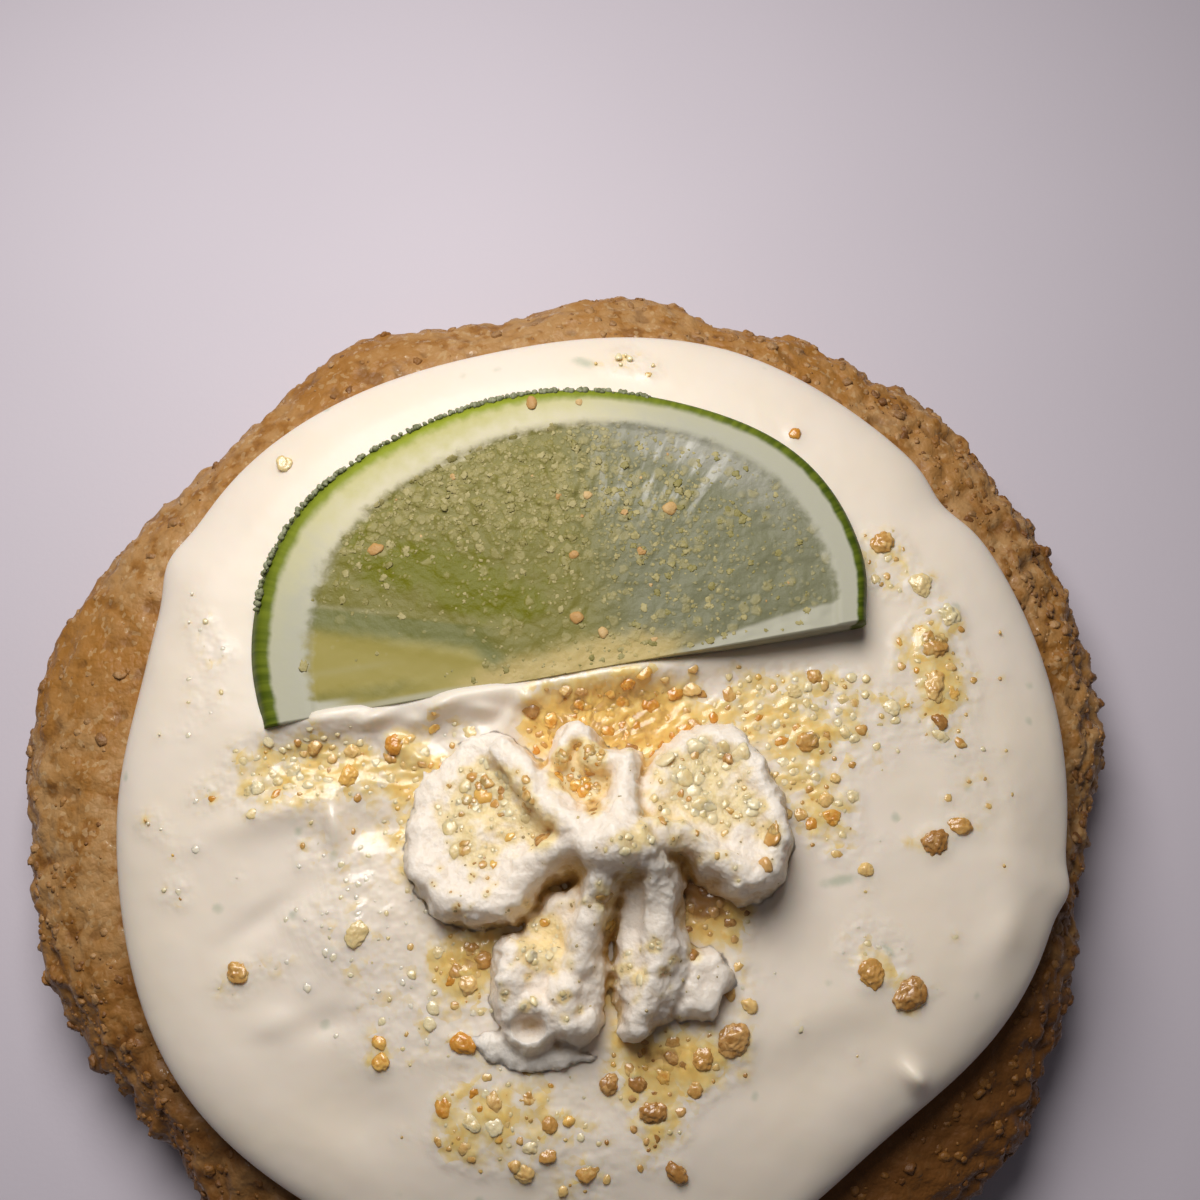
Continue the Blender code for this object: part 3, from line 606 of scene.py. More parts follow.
def creamFinish():
    make = Finish("lime_cream")
    stain = make.mask("stain")
    wet = make.mask("wet")
    mottle = make.cloud(0.9, 4)
    grainy = make.stirred(1.0, 0.35)
    uneven = (mottle - 0.5) * 1.1 + (make.chance(1.2, grainy) - 0.5) * 0.5
    colour = make.tint(cream["white"], make.cloud(9, 2), 0.35, 0.7, cream["butter"], 0.5)
    colour = make.tint(colour, stain + uneven * wet, 0.06, 0.75, cream["yellow"])
    colour = make.tint(colour, stain + uneven, 0.5, 1.3, cream["amber"])
    # brown comes only where the stains are strongest, at the whipped cream's foot: partly soaked crumbs,
    # partly painted shade
    colour = make.tint(colour, stain + uneven, 1.2, 2.0, cream["brown"])
    stirred = make.stirred(1.5, 0.4)
    fleck = make.between(make.cells(3.4, where=stirred), 0.04, 0.2, 1.0, 0.0)
    fleck = fleck * make.between(make.chance(3.4, stirred), 0.86, 0.88)
    colour = make.blend(fleck * 0.5, colour, cream["fleck"])
    colour = make.tint(colour, make.mask("zest") + (mottle - 0.5) * 0.6, 0.2, 1.0, cream["fleck"], 0.6)
    height = make.cloud(1.2, 1) * make.between(wet, 0.1, 1.0)
    under = make.relief(make.cloud(6, 2), 0.25)
    return make.done({
        "Base Color": colour, "Roughness": cream["roughness"], "Specular IOR Level": 0.35,
        "Subsurface Weight": 0.4, "Subsurface Radius": (1.0, 0.75, 0.5), "Subsurface Scale": 1.6 * mm,
        "Coat Weight": make.between(wet, 0.1, 0.9, 0.06, 0.6), "Coat Roughness": 0.12,
        "Normal": make.relief(height, cream["relief"], under),
    })


def makeCream(placed):
    spots = Spots(placed)
    under = cookie["top"] + cream["gap"]
    start = (cream["radius"] - cream["edgeWidth"], cream["edgeTop"])
    edge = (cream["radius"], cream["edgeHeight"])
    foot = (cream["radius"] - cream["undercut"], under)
    profile = level(0.4, start[0], 92, cream["edgeTop"]) + arc(start, edge, 22)
    profile += arc(foot, edge, 10, first=0)[::-1][1:]
    points, stain, wet, zest = [], [], [], []
    for radius, height in profile:
        for step in range(cream["steps"]):
            turn = tau * step / cream["steps"]
            stretch = creamEdge(360 * step / cream["steps"]) / cream["radius"]
            x, y, z = radius * stretch * cos(turn), radius * stretch * sin(turn), height
            lift = soaked = damp = 0
            if height > cream["edgeHeight"]:
                share = (height - cream["edgeHeight"]) / (cream["edgeTop"] - cream["edgeHeight"])
                lift, soaked, damp = creamCrumbEffect(spots, x, y)
                top = creamHeight(x, y) + lift
                z = cream["edgeHeight"] + share * (top - cream["edgeHeight"])
                z -= limeBed(x, y, z)
                # the crumbs' stains, and painted shade at the whipped cream's foot
                soaked += sum(amount * spot(x, y, a, b, wide) for a, b, wide, amount in stainsAndShade)
                z += cream["grit"] * share * min(1, soaked) * max(0, ripple(x, y, cream["gritSize"], 5))
            points.append((x, y, z))
            stain.append(soaked)
            wet.append(damp)
            zest.append(sum(oblong(x, y, *fleck) for fleck in zestFlecks))
    points += [(0, 0, creamHeight(0, 0)), (0, 0, under)]
    stain += [0, 0]
    wet += [0, 0]
    zest += [0, 0]
    faces = ringFaces(len(profile), cream["steps"])
    masks = {"stain": stain, "wet": wet, "zest": zest}
    return newPiece("lime_cream_layer", points, faces, creamFinish(), ["lime_cream"], masks)


# the half slice of lime

lime = dict(
    radius=29.5, thickness=3.6, place=(0.06, 7.6, 20.7), turn=8.3, tilt=1.9, steps=460,
    membranes=(24, 52, 80, 108, 138, 159),
    lobes=[(0, 10, -1.3), (34, 22, 2.1), (142, 22, 2.0), (180, 10, -1.0)],
    # where the pulp ends at the right and at the left, and how far the cut's edge lies in at its middle
    pulpEdge=25.2, pulpRight=26.3, pulpLeft=23.8, pithTop=1.0, pulpDip=0.35, cutIn=0.9, cutTurn=0.028,
    bedDepth=0.3,
    rindDark=(0.05, 0.078, 0.003), rindLeaf=(0.12, 0.155, 0.011), zest=(0.29, 0.335, 0.025),
    pith=(0.70, 0.645, 0.46),
    pithEnd=(0.47, 0.46, 0.36), pithGreen=(0.52, 0.49, 0.17), pulpGreen=(0.16, 0.157, 0.002),
    pulpMuted=(0.205, 0.185, 0.04), pulpGrey=(0.20, 0.20, 0.115), ash=(0.38, 0.37, 0.31),
    streak=(0.62, 0.61, 0.54), olive=(0.34, 0.285, 0.07), underLine=(0.165, 0.168, 0.046),
    flake=(0.41, 0.352, 0.15), butter=(0.54, 0.42, 0.17),
)
limeMatrix = Matrix.Translation(lime["place"]) @ (
    Matrix.Rotation(radians(lime["turn"]), 4, "Z") @ Matrix.Rotation(-radians(lime["tilt"]), 4, "Y"))
limeInverse = limeMatrix.inverted()
limeMasks = ("deep", "grey", "dusty", "olive", "streaked", "butter", "ash", "white")


def limeStretch(radius, angle):
    return 1 + lobed(angle, lime["lobes"]) / lime["radius"] * (radius / lime["radius"]) ** 2


def onLime(x, y):  # high over a place on the slice
    return limeMatrix @ Vector((x, y, 20))


def limeRing(ring, angle):  # rings crowd where the pith is narrow, at the right, and spread at the left
    edge = lime["pulpRight"] + (lime["pulpLeft"] - lime["pulpRight"]) * smooth(angle, 60, 185)
    edge -= lime["pithTop"] * hump(angle - 98, 34)
    if ring < lime["pulpEdge"]:
        return ring * edge / lime["pulpEdge"]
    radius = lime["radius"]
    return radius - (radius - ring) * (radius - edge) / (radius - lime["pulpEdge"])


def cutEdge(x):  # the cut's edge isn't quite in line with the middle
    return max(0, lime["cutIn"] + lime["cutTurn"] * x)


def limeBed(x, y, z):  # how far the cream goes down to let the slice lie in it
    local = limeInverse @ Vector((x, y, z))
    front = local.y - cutEdge(local.x)
    if front < 0.3 or local.y > lime["radius"] + 4:
        return 0
    angle = angleOf(local.x, local.y)
    inside = min(lime["radius"] * limeStretch(lime["radius"], angle) - hypot(local.x, local.y), front)
    return smooth(inside, 0.5, 1.6) * max(0, local.z + lime["bedDepth"])


def limeFinish():
    make = Finish("lime")
    ring, around, soft, bright = (make.mask(name) for name in ("ring", "around", "soft", "bright"))
    deep, grey, dusty, olive, streaked, butter, ash, white = (make.mask(name) for name in limeMasks)
    streak = make.drawnOut(0.8, 4, ring * 0.2, around)
    patchy = make.cloud(1.5, 4)
    pulp = make.blend(grey, lime["pulpMuted"], lime["pulpGrey"])
    pulp = make.tint(pulp, deep + (patchy - 0.5) * 1.1, 0.25, 0.75, lime["pulpGreen"])
    pulp = make.tint(pulp, olive, 0.0, 0.35, lime["underLine"])
    pulp = make.tint(pulp, olive + (patchy - 0.5) * 0.25, 0.35, 0.9, lime["olive"])
    pulp = make.tint(pulp, butter + (patchy - 0.5) * 0.5, 0.2, 0.9, lime["butter"])
    pulp = make.blend(ash * 0.85, pulp, lime["ash"])
    pulp = make.blend(make.between(streak, 0.47, 0.66) * streaked, pulp, lime["streak"])
    stirred = make.stirred(0.8, 0.3)
    large = make.between(dusty - make.chance(1.1, stirred), -0.02, 0.04)
    large = large * make.between(make.cells(1.1, where=stirred), 0.3, 0.6, 1.0, 0.0)
    small = make.between(dusty * 1.4 - make.chance(0.5, stirred), -0.02, 0.04)
    small = small * make.between(make.cells(0.5, where=stirred), 0.2, 0.55, 1.0, 0.0)
    film = make.between(dusty + (patchy - 0.5) * 1.6, 0.5, 1.2)
    for flakes, most in ((film, 0.16), (large, 0.5), (small, 0.5)):
        pulp = make.blend(flakes * most, pulp, lime["flake"])
    fibre = make.drawnOut(0.8, 3, ring * 0.6, around)
    pith = make.tint(lime["pithEnd"], bright + (patchy - 0.5) * 0.3, 0.2, 0.8, lime["pith"])
    greenish = make.between(ring + (patchy - 0.5) * 3.0, lime["radius"] - 4.6, lime["radius"] - 1.3) * bright
    pith = make.blend(greenish * 0.9, pith, lime["pithGreen"])
    stripe = make.drawnOut(0.7, 2, around * 1.3, 0.0)
    rind = make.tint(lime["rindDark"], stripe, 0.38, 0.62, lime["rindLeaf"])
    zesty = bright * make.between(ring, lime["radius"] - 0.1, lime["radius"] - 1.3)
    rind = make.blend(zesty, rind, lime["zest"])
    wavy = ring + (fibre - 0.5) * 0.9 + (patchy - 0.5) * 2.0
    inward = make.between(wavy, lime["pulpEdge"] - 0.9, lime["pulpEdge"] + 0.7)
    inward = make.between(inward + white, 0.0, 1.0)
    wavy = ring + (fibre - 0.5) * 0.4 + (patchy - 0.5) * bright
    starts = lime["radius"] - 1.9 - soft * 0.3 + bright * 0.3
    outward = make.between(wavy, starts, lime["radius"] - 1.5 + bright * 0.3)
    colour = make.blend(inward, pulp, pith)
    colour = make.blend(outward, colour, rind)
    pulpy = (1 - inward) * (1 - olive) * (make.cloud(0.7, 4) + large * 0.5 + small * 0.4)
    height = pulpy + fibre * inward * 0.2 + stripe * outward * 0.6
    return make.done({
        "Base Color": colour, "Roughness": make.between(inward, 0, 1, 0.4, 0.5), "Specular IOR Level": 0.15,
        "Subsurface Weight": 0.1, "Subsurface Radius": (0.8, 1.0, 0.4), "Subsurface Scale": 0.8 * mm,
        "Normal": make.relief(height, 0.1),
    })


limePatches = dict(  # x, y, half widths, amount
    deep=[(-13, 13.4, 6, 2.6, 1), (-8, 9.8, 3.4, 2.4, 1), (-18, 17.5, 2.4, 2, 0.7), (-14.5, 20.6, 2, 2, 0.7),
          (-3.5, 8, 3.5, 2.4, 0.6), (0, 13, 5, 6, 0.3)],
    window=[(-11.5, 11.6, 4.5, 2.8, 1)],
    dusty=[(-11, 20, 13, 5.5, 0.8), (3, 19, 8, 7, 0.5), (12, 12, 7, 6, 0.3)],
    streaked=[(13, 19, 7, 4, 1)],
    butter=[(4, 0.4, 9, 3, 1), (-7, 0.8, 5, 1.6, 0.5)],
)


def patches(name, x, y, total=0):
    for middleX, middleY, wideX, wideY, amount in limePatches[name]:
        total += amount * (hump(x - middleX, wideX) * hump(y - middleY, wideY))
    return total


def limeColours(x, y):  # a place on the slice, from the middle of its cut, to the shares of its colours
    front = y - cutEdge(x)
    line = 10.8 - 0.277 * (x + 22)  # the height of the line over the lowest segment
    left = smooth(-x, 4, 9)
    under = smooth(line - y, -0.1, 0.5) * left
    deep = patches("deep", x, y)
    grey = smooth(x, 1, 9)
    dusty = patches("dusty", x, y, 0.16) * (1 - 0.9 * patches("window", x, y)) * (1 - 0.9 * under)
    olive = under * (0.3 + 0.7 * smooth(line - y, 0.8, 4.4))
    olive *= 1 - 0.35 * hump(y - 1.8, 1.2) * smooth(-x, 10, 16)
    streaked = patches("streaked", x, y)
    butter = patches("butter", x, front)
    angle = angleOf(x, y)
    ash = hump(hypot(x, y) / limeStretch(26, angle) - 24.9, 1.8) * hump(angle - 52, 20)
    white = smooth(0.5 + 1.7 * smooth(x, 9, 25) - front, -0.3, 0.4) * smooth(x, 8, 14)
    white += (smooth(1.5 - front, -0.3, 0.5) * smooth(-x, 18, 23)
              + 0.2 * hump(y - 4.3, 0.5) * smooth(-x, 13, 18))
    white += (0.25 * hump(y - line, 0.4) * smooth(-x, 13, 17)
              + 0.6 * smooth(0.7 - front, -0.2, 0.4) * smooth(-x, 6, 12))
    return [min(1, share) for share in (deep, grey, dusty, olive, streaked, butter, ash, white)]


def makeLime():
    top, radius = lime["thickness"], lime["radius"]
    profile = level(0.05, lime["pulpEdge"] - 0.4, 100, top - lime["pulpDip"])
    profile += [(lime["pulpEdge"] - 0.1, top - 0.15), (lime["pulpEdge"] + 0.2, top - 0.02)]
    profile += level(lime["pulpEdge"] + 0.6, radius - 1.5, 8, top)
    profile += [(radius - 1.1, top - 0.08), (radius - 0.8, top - 0.3), (radius - 0.5, top - 0.75)]
    profile += [(radius - 0.3 + 0.3 * sin(share * pi), top - 1.4 - share * (top - 1.7)) for share in
                (0, 0.15, 0.3, 0.45, 0.6, 0.75, 0.9, 1)]
    profile += [(radius - 0.6, 0.08), (radius - 1, 0), (radius * 0.6, 0), (0.05, 0)]
    steps = lime["steps"]
    points, masks = [], {name: [] for name in ("ring", "around", "soft", "bright", *limeMasks)}
    for step in range(steps + 1):
        angle = 180 * step / steps
        turn = radians(angle)
        soft, bright = 0.2 + 1.1 * smooth(170 - angle, 10, 40) * smooth(angle, 30, 70), hump(angle - 108, 44)
        for ring, height in profile:
            inner = limeRing(ring, angle)
            wide = inner * limeStretch(inner, angle)
            x, y, z = wide * cos(turn), wide * sin(turn), height
            y += cutEdge(x) * max(0, 1 - y / 12) ** 2
            shares = limeColours(x, y)
            if height < 0.8 * top:
                shares[-1] = 1.0  # painted light: the lower faces, the cut's face among them, are painted pale as pith, so that the cut's face in shade reads lighter
            if height > 0.8 * top:
                pulpShare = smooth(lime["pulpEdge"] - ring, 0, 1.5)
                ridge = max(hump(angle - membrane, 60 / (ring + 4)) for membrane in lime["membranes"])
                z += 0.06 * ridge * pulpShare * smooth(ring, 2, 7)
                dusty = shares[limeMasks.index("dusty")] * pulpShare
                calm = pulpShare * (1 - 0.85 * shares[limeMasks.index("olive")])
                z += calm * (0.14 * ripple(x, y, 2.2, 4) + 0.05 * ripple(x, y, 0.8, 8))
                z += 0.3 * dusty * max(0, ripple(x, y, 0.9, 2))
            points.append(tuple(limeMatrix @ Vector((x, y, z))))
            for name, value in zip(masks, (ring, turn * 18, soft, bright, *shares)):
                masks[name].append(value)
    count = len(profile)
    faces = []
    for step in range(steps):
        for index in range(count - 1):
            here = step * count + index
            faces.append((here, here + 1, here + count + 1, here + count))
    faces.append(tuple(range(count - 1, -1, -1)))
    faces.append(tuple(steps * count + index for index in range(count)))
    return newPiece("lime_half", points, faces, limeFinish(), ["lime_slice"], masks)


# the whipped cream

whipped = dict(
    # ridges: their names, the radius at the start and at the end, and points along the top
    ridges={
        "left rim": (1, 1.7, [
            (3, -7.5, 31.5), (0.6, -7.4, 29.6), (-1.4, -7.9, 28.2), (-3.1, -9.3, 27.2), (-5, -10.9, 26.7),
            (-8, -12.1, 26.5), (-11, -11.2, 26.2), (-12.6, -8.8, 25.4), (-12.8, -5.5, 24.4),
            (-11.9, -1.8, 23.2)]),
        "upper left finger": (1.3, 1.3, [
            (3.5, -6.5, 31.5), (1.1, -5.7, 30), (-1.1, -4.5, 28.8), (-2.6, -3.1, 28), (-3.6, -1.4, 27.4),
            (-4.7, 0.3, 26.8), (-5.8, 1, 26)]),
        "top column": (1.5, 1, [
            (5.1, -5.7, 31), (4.9, -4.1, 29.8), (5.1, -2.1, 28.6), (5.2, -0.1, 27.6), (3.8, 0.2, 27),
            (2.4, 0.1, 26.6)]),
        "top curl": (0.9, 0.8, [
            (-0.4, 0.6, 26.2), (-0.2, 1.9, 25.9), (0.8, 2.9, 25.6), (1.7, 2.3, 25.7), (2.2, 1, 26.2)]),
        "fan rim": (1.2, 1, [
            (5.9, -6.9, 31.6), (7.8, -6.3, 30.2), (10.2, -6.7, 29.1), (12, -7.7, 28.6), (14, -9.2, 28.2),
            (16.2, -10, 28), (17.9, -9.1, 27.7), (18.5, -6.7, 27.4), (18.1, -3.6, 27.1), (17, -0.9, 26.8),
            (15.3, 1.5, 26.2), (13, 2.5, 25.8)]),
        "lower left ridge": (1, 1.3, [
            (4.1, -8.1, 31.5), (3.2, -9.5, 30), (2.9, -11.2, 28.8), (2.3, -13.1, 27.8), (1.6, -15.4, 27),
            (0.9, -17.6, 26.4)]),
        "lower right ridge": (1.1, 1.7, [
            (6.4, -8, 31.2), (7.7, -9.1, 30), (8.2, -10.8, 28.9), (8, -12.7, 27.9), (8, -15, 27.2),
            (8.2, -17, 26.9)]),
        "lip of the hollow": (0.7, 0.7, [
            (-5, -21.6, 25), (-4, -20.8, 25.8), (-2.6, -20.6, 26.2), (-1.5, -21.6, 25.9),
            (-1.5, -23, 25.2), (-2.9, -23.7, 24.6), (-4.4, -23.2, 24.4)]),
        "blob beside it": (1.6, 1.3, [
            (-0.2, -19.4, 26.6), (0.2, -22.2, 26), (1.7, -22.1, 25.6)]),
        "blob at the left": (1.4, 1.2, [
            (-4.4, -16.6, 25.8), (-4.6, -18.8, 26.2), (-4.9, -20.6, 25.4)]),
        "ragged tip": (1.7, 0.9, [
            (7.4, -19, 26.6), (6.5, -21, 26.2), (6, -22.6, 25.4)]),
    },
    # sheets: their names, a point on each, how it rises along X and Y, how round its edge is, and its outline
    sheets={
        "left dish": ((-7.1, -4.9, 25.0), (0.14, -0.2), 1.2, [
            (1.5, -6), (-0, -8.5), (-2.1, -10.4), (-3.9, -12.2), (-5.6, -13.4), (-8.1, -13.7),
            (-10.7, -13.1), (-12.4, -11.7), (-13.6, -9.7), (-13.9, -7.4), (-13.6, -4.3), (-12.5, -1.3),
            (-11, 1.1), (-9.2, 2.8), (-7.1, 3.3), (-5.6, 2.7), (-4.5, 0.7), (-3.1, -2.8), (-0, -4.8)]),
        "web at the finger": ((-1, -2.9, 27.2), (0.1, -0.1), 1, [
            (1, -5.1), (-2.5, -3.6), (-3, -1.6), (-1.6, -0.5), (-0.6, -1.7), (0.3, -2.9), (1.8, -3.9)]),
        "top dish": ((1.6, -1.3, 25.2), (0.1, -0.2), 0.8, [
            (4.6, -4.1), (5, -0.4), (2.5, 1), (0.6, 2.6), (-0.8, 1.8), (-1.2, -0.7), (-0, -2.1),
            (1.5, -3.5)]),
        "fan": ((12.4, -3.1, 26.5), (-0.02, -0.15), 1.1, [
            (5.6, -5.2), (6.8, -2.4), (7.6, -0.4), (9, 1.6), (11, 3), (13.2, 3.7), (15.2, 3.2), (17, 1.4),
            (18.2, -0.8), (19, -3.6), (19.6, -6), (19.4, -8), (18.2, -9.8), (16.5, -11), (14.6, -10.8),
            (12.4, -9.8), (10, -8.3), (7.8, -7.2)]),
        "left slope": ((-1.6, -14, 24.0), (0.3, 0.08), 1.2, [
            (3, -9.4), (1, -10.4), (-1.1, -11.5), (-3.3, -13.1), (-4.5, -15.2), (-4.5, -17), (-0, -18),
            (2, -16)]),
        "left lobe": ((-1.3, -19.5, 25.2), (0.06, 0.05), 2.0, [
            (-3.6, -15.2), (-5.4, -16), (-6.1, -18), (-6, -20.4), (-5.2, -22.6), (-3.8, -23.9),
            (-1.8, -23.7), (-0.2, -23.9), (1.6, -23.4), (2.8, -21.8), (3.4, -19.4), (3.4, -17.2),
            (2.4, -15.6)]),
        "channel": ((6, -11.1, 26.2), (0.25, 0.28), 0.8, [
            (4.6, -8.5), (4.9, -12), (4.6, -16), (8, -16), (8, -9)]),
        "right lobe": ((7.6, -18, 25.4), (0, 0.1), 1.8, [
            (5, -15), (8, -13.6), (10.2, -13), (10.8, -15), (11, -17.2), (10.3, -19.6), (9, -21.6),
            (7.2, -22.6), (6.1, -23.3), (5.2, -22.2), (4.6, -20.2), (4.3, -17.4)]),
        "far right lobe": ((12.7, -18.6, 24.4), (0, 0.1), 1.4, [
            (10.3, -16.6), (11.5, -16.2), (13.1, -16.4), (14.4, -17.8), (14.5, -19.5), (13.5, -20.6),
            (12.8, -22.1), (11, -21.9), (9.5, -21.7)]),
        "smear": ((-3.2, -25.2, 22.2), (0, 0.05), 0.8, [
            (-8.4, -23.4), (-5.9, -23.2), (-3.2, -24), (0.9, -24.4), (2.8, -25.2), (-0.1, -26.3),
            (-3.4, -26.4), (-6.9, -25.6)]),
    },
    hub=(1.9, 1.9, [(2.7, -7.5, 31.6), (4.4, -7.5, 32.6), (6.2, -7.4, 31.6)]),
    hollow=((-3.2, -22.7, 25.2), (1.7, 1.3, 2.0)),  # its middle and radii
    # how far ridges and sheets reach, how full ridges are, and how softly the highest of them blend
    ridgeReach=3.5, ridgeFull=0.98, sheetReach=1.5, sharp=5, middleHeight=25,
    steep=5.0, dish=0.2, dishFrom=0.8, dishTo=3.2, foot=20.6,
    left=-15.5, front=-28, wide=37, deep=33, gridStep=0.25, voxel=0.25,
    tearSize=2.4, tearDepth=0.34, raggedSize=1.4, ragged=0.4, fineSize=0.5, fine=0.12,
    # how far round a point its painted shade looks for higher tops, and the most height that counts
    shadeReach=1.5, shadeMost=4,
    # how far the outlines wander, and over what length
    wander=[(2.4, 0.4), (0.9, 0.34), (0.45, 0.24)],
    # gap is the colour of painted shade in the hollows between the petals
    white=(0.92, 0.82, 0.715), yellow=(0.89, 0.71, 0.38), gap=(0.70, 0.47, 0.18), roughness=0.45,
)


def lineDistance(x, y, points):  # the distance to a line, and how many points along it the nearest place is
    best, place = 99, 0
    for index, (start, end) in enumerate(zip(points, points[1:])):
        runX, runY = end[0] - start[0], end[1] - start[1]
        share = ((x - start[0]) * runX + (y - start[1]) * runY) / (runX * runX + runY * runY)
        share = min(1, max(0, share))
        away = hypot(x - start[0] - share * runX, y - start[1] - share * runY)
        if away < best:
            best, place = away, index + share
    return best, place


def within(x, y, outline):
    inside = False
    for start, end in zip(outline, outline[1:]):
        if (start[1] > y) != (end[1] > y):
            crossing = start[0] + (y - start[1]) * (end[0] - start[0]) / (end[1] - start[1])
            if x < crossing:
                inside = not inside
    return inside


def petalHeight(x, y):  # the ridges and sheets over a point, the highest of them softly blended
    tops = []
    steep, sharp, middle = whipped["steep"], whipped["sharp"], whipped["middleHeight"]
    for thin, full, points in (*whipped["ridges"].values(), whipped["hub"]):
        away, along = lineDistance(x, y, points)
        if away < whipped["ridgeReach"]:
            index = min(len(points) - 2, int(along))
            height = points[index][2] + (points[index + 1][2] - points[index][2]) * (along - index)
            radius = whipped["ridgeFull"] * (thin + (full - thin) * along / (len(points) - 1))
            drop = radius - sqrt(max(0, radius**2 - away**2)) + steep * max(0, away - radius)
            tops.append(height - drop)
    for (atX, atY, height), (riseX, riseY), edge, outline in whipped["sheets"].values():
        closed = outline + outline[:1]
        away = lineDistance(x, y, closed)[0] * (1 if within(x, y, closed) else -1)
        if away > -whipped["sheetReach"]:
            short = min(edge, max(0, edge - away))
            drop = edge - sqrt(edge**2 - short**2) + steep * max(0, -away)
            drop += whipped["dish"] * smooth(away, whipped["dishFrom"], whipped["dishTo"])
            tops.append(height + riseX * (x - atX) + riseY * (y - atY) - drop)
    return log(sum(exp(sharp * (top - middle)) for top in tops)) / sharp + middle if tops else 0


def whippedFinish():
    make = Finish("whipped_cream")
    stain = make.mask("stain")
    fine = make.cloud(0.7, 4)
    colour = make.tint(whipped["white"], stain + (fine - 0.5) * 0.9, 0.1, 1.0, whipped["yellow"])
    # painted shade: browner where a point lies below the tops round it, in the hollows between the petals
    colour = make.tint(colour, make.mask("gap") + (fine - 0.5) * 0.7, 0.8, 2.3, whipped["gap"])
    height = make.cloud(0.45, 3) + make.cells(0.5) * 0.5
    return make.done({
        "Base Color": colour, "Roughness": whipped["roughness"], "Specular IOR Level": 0.4,
        "Subsurface Weight": 0.7, "Subsurface Radius": (1.0, 0.96, 0.88), "Subsurface Scale": 1.3 * mm,
        "Normal": make.relief(height, 0.12),
    })


def whippedSkin():  # a grid lifted to the petals' height, closed underneath and remeshed, in millimetres
    step = whipped["gridStep"]
    columns, rows = int(whipped["wide"] / step), int(whipped["deep"] / step)
    body = bmesh.new()
    tops, feet = {}, {}
    for column in range(columns):
        for row in range(rows):
            x, y = whipped["left"] + column * step, whipped["front"] + row * step
            atX, atY = x, y
            for size, reach in whipped["wander"]:
                atX += reach * ripple(x, y, size, 3)
                atY += reach * ripple(x, y, size, 7)
            height = petalHeight(atX, atY)
            if height > whipped["foot"] + 0.2:
                tops[column, row] = body.verts.new((x, y, height))
                feet[column, row] = body.verts.new((x, y, whipped["foot"]))
    heights = {place: vert.co.z for place, vert in tops.items()}
    sides = {}
    for column, row in tops:
        corners = [(column, row), (column + 1, row), (column + 1, row + 1), (column, row + 1)]
        if all(corner in tops for corner in corners):
            body.faces.new([tops[corner] for corner in corners])
            body.faces.new([feet[corner] for corner in corners[::-1]])
            for first, second in zip(corners, corners[1:] + corners[:1]):
                sides[first, second] = (second, first) not in sides
                if (second, first) in sides:
                    sides[second, first] = False
    for (first, second), single in sides.items():
        if single:
            body.faces.new((tops[second], tops[first], feet[first], feet[second]))
    mesh = bpy.data.meshes.new("whipped_start")
    body.to_mesh(mesh)
    body.free()
    obj = newObject("whipped_start", mesh)
    skin = obj.modifiers.new("skin", "REMESH")
    skin.mode = "VOXEL"
    skin.voxel_size = whipped["voxel"]
    soft = obj.modifiers.new("soft", "SMOOTH")
    soft.factor = 0.5
    soft.iterations = 2
    bpy.context.view_layer.update()
    settled = bpy.data.meshes.new_from_object(obj.evaluated_get(bpy.context.evaluated_depsgraph_get()))
    bpy.data.objects.remove(obj)
    return settled, heights


def makeWhipped():
    skin, tops = whippedSkin()
    crumbs = Spots(list(swirlDraws()), 1.5)
    shifts = (Vector((9, 2, 8)), Vector((1, 7, 3)), Vector((4, 5, 6)))
    middle, radii = Vector(whipped["hollow"][0]), whipped["hollow"][1]
    points, stain, gap = [], [], []
    reach, step = whipped["shadeReach"], whipped["gridStep"]
    around = [(reach * cos(tau * share / 10), reach * sin(tau * share / 10)) for share in range(10)]
    for vert in skin.vertices:
        point = vert.co.copy()
        torn = Vector([noise.noise(point / whipped["tearSize"] + shift) for shift in shifts])
        ragged = whipped["ragged"] * noise.noise(point / whipped["raggedSize"])
        ragged += noise.noise(point / whipped["fineSize"])
        point += whipped["tearDepth"] * torn + vert.normal * whipped["fine"] * ragged
        away = Vector([(point[axis] - middle[axis]) / radii[axis] for axis in range(3)])
        if away.length < 1:
            wall = Vector([away[axis] / max(away.length, 0.05) * radii[axis] for axis in range(3)])
            point = middle + wall * 0.98
        point.z = max(point.z, creamHeight(point.x, point.y) + 0.05)
        points.append(point)
        soaked = sum(amount * spot(point.x, point.y, a, b, wide) for a, b, wide, amount in swirlStains)
        for a, b, size, kind, seed in crumbs.near(point.x, point.y):
            soaked += (0.25 if kind == "specks" else 0.55) * spot(point.x, point.y, a, b, 0.4 * size + 0.3)
        stain.append(soaked)
        # painted shade: how far the tops round a point stand over it
        over = 0
        for a, b in around:
            column = round((point.x + a - whipped["left"]) / step)
            row = round((point.y + b - whipped["front"]) / step)
            over += min(whipped["shadeMost"], max(0, tops.get((column, row), 0) - point.z))
        gap.append(over / len(around))
    faces = [tuple(face.vertices) for face in skin.polygons]
    bpy.data.meshes.remove(skin)
    masks = {"stain": stain, "gap": gap}
    material = whippedFinish()
    return newPiece("whipped_swirl", points, faces, material, ["whipped_cream"], masks)


# where crumbs tint the whipped cream: x, y, half width, amount
swirlStains = [(-7.5, -4.2, 4.6, 0.5), (1.5, -1.0, 2.0, 1.1), (12.0, -3.2, 5.0, 0.45),
               (-1.8, -14.4, 2.8, 0.5), (6.0, -11.0, 1.3, 0.3), (6.0, -7.2, 1.3, 0.5),
               (0.2, -9.8, 1.5, 0.6), (9.8, -8.4, 1.6, 0.4), (-1.8, -5.9, 1.3, 1.0),
               (-0.8, -16.8, 1.6, 0.35), (6.2, -18.6, 1.4, 0.3), (-0.6, -21.2, 1.0, 0.3),
               (-3.2, -22.6, 1.2, 0.35)]

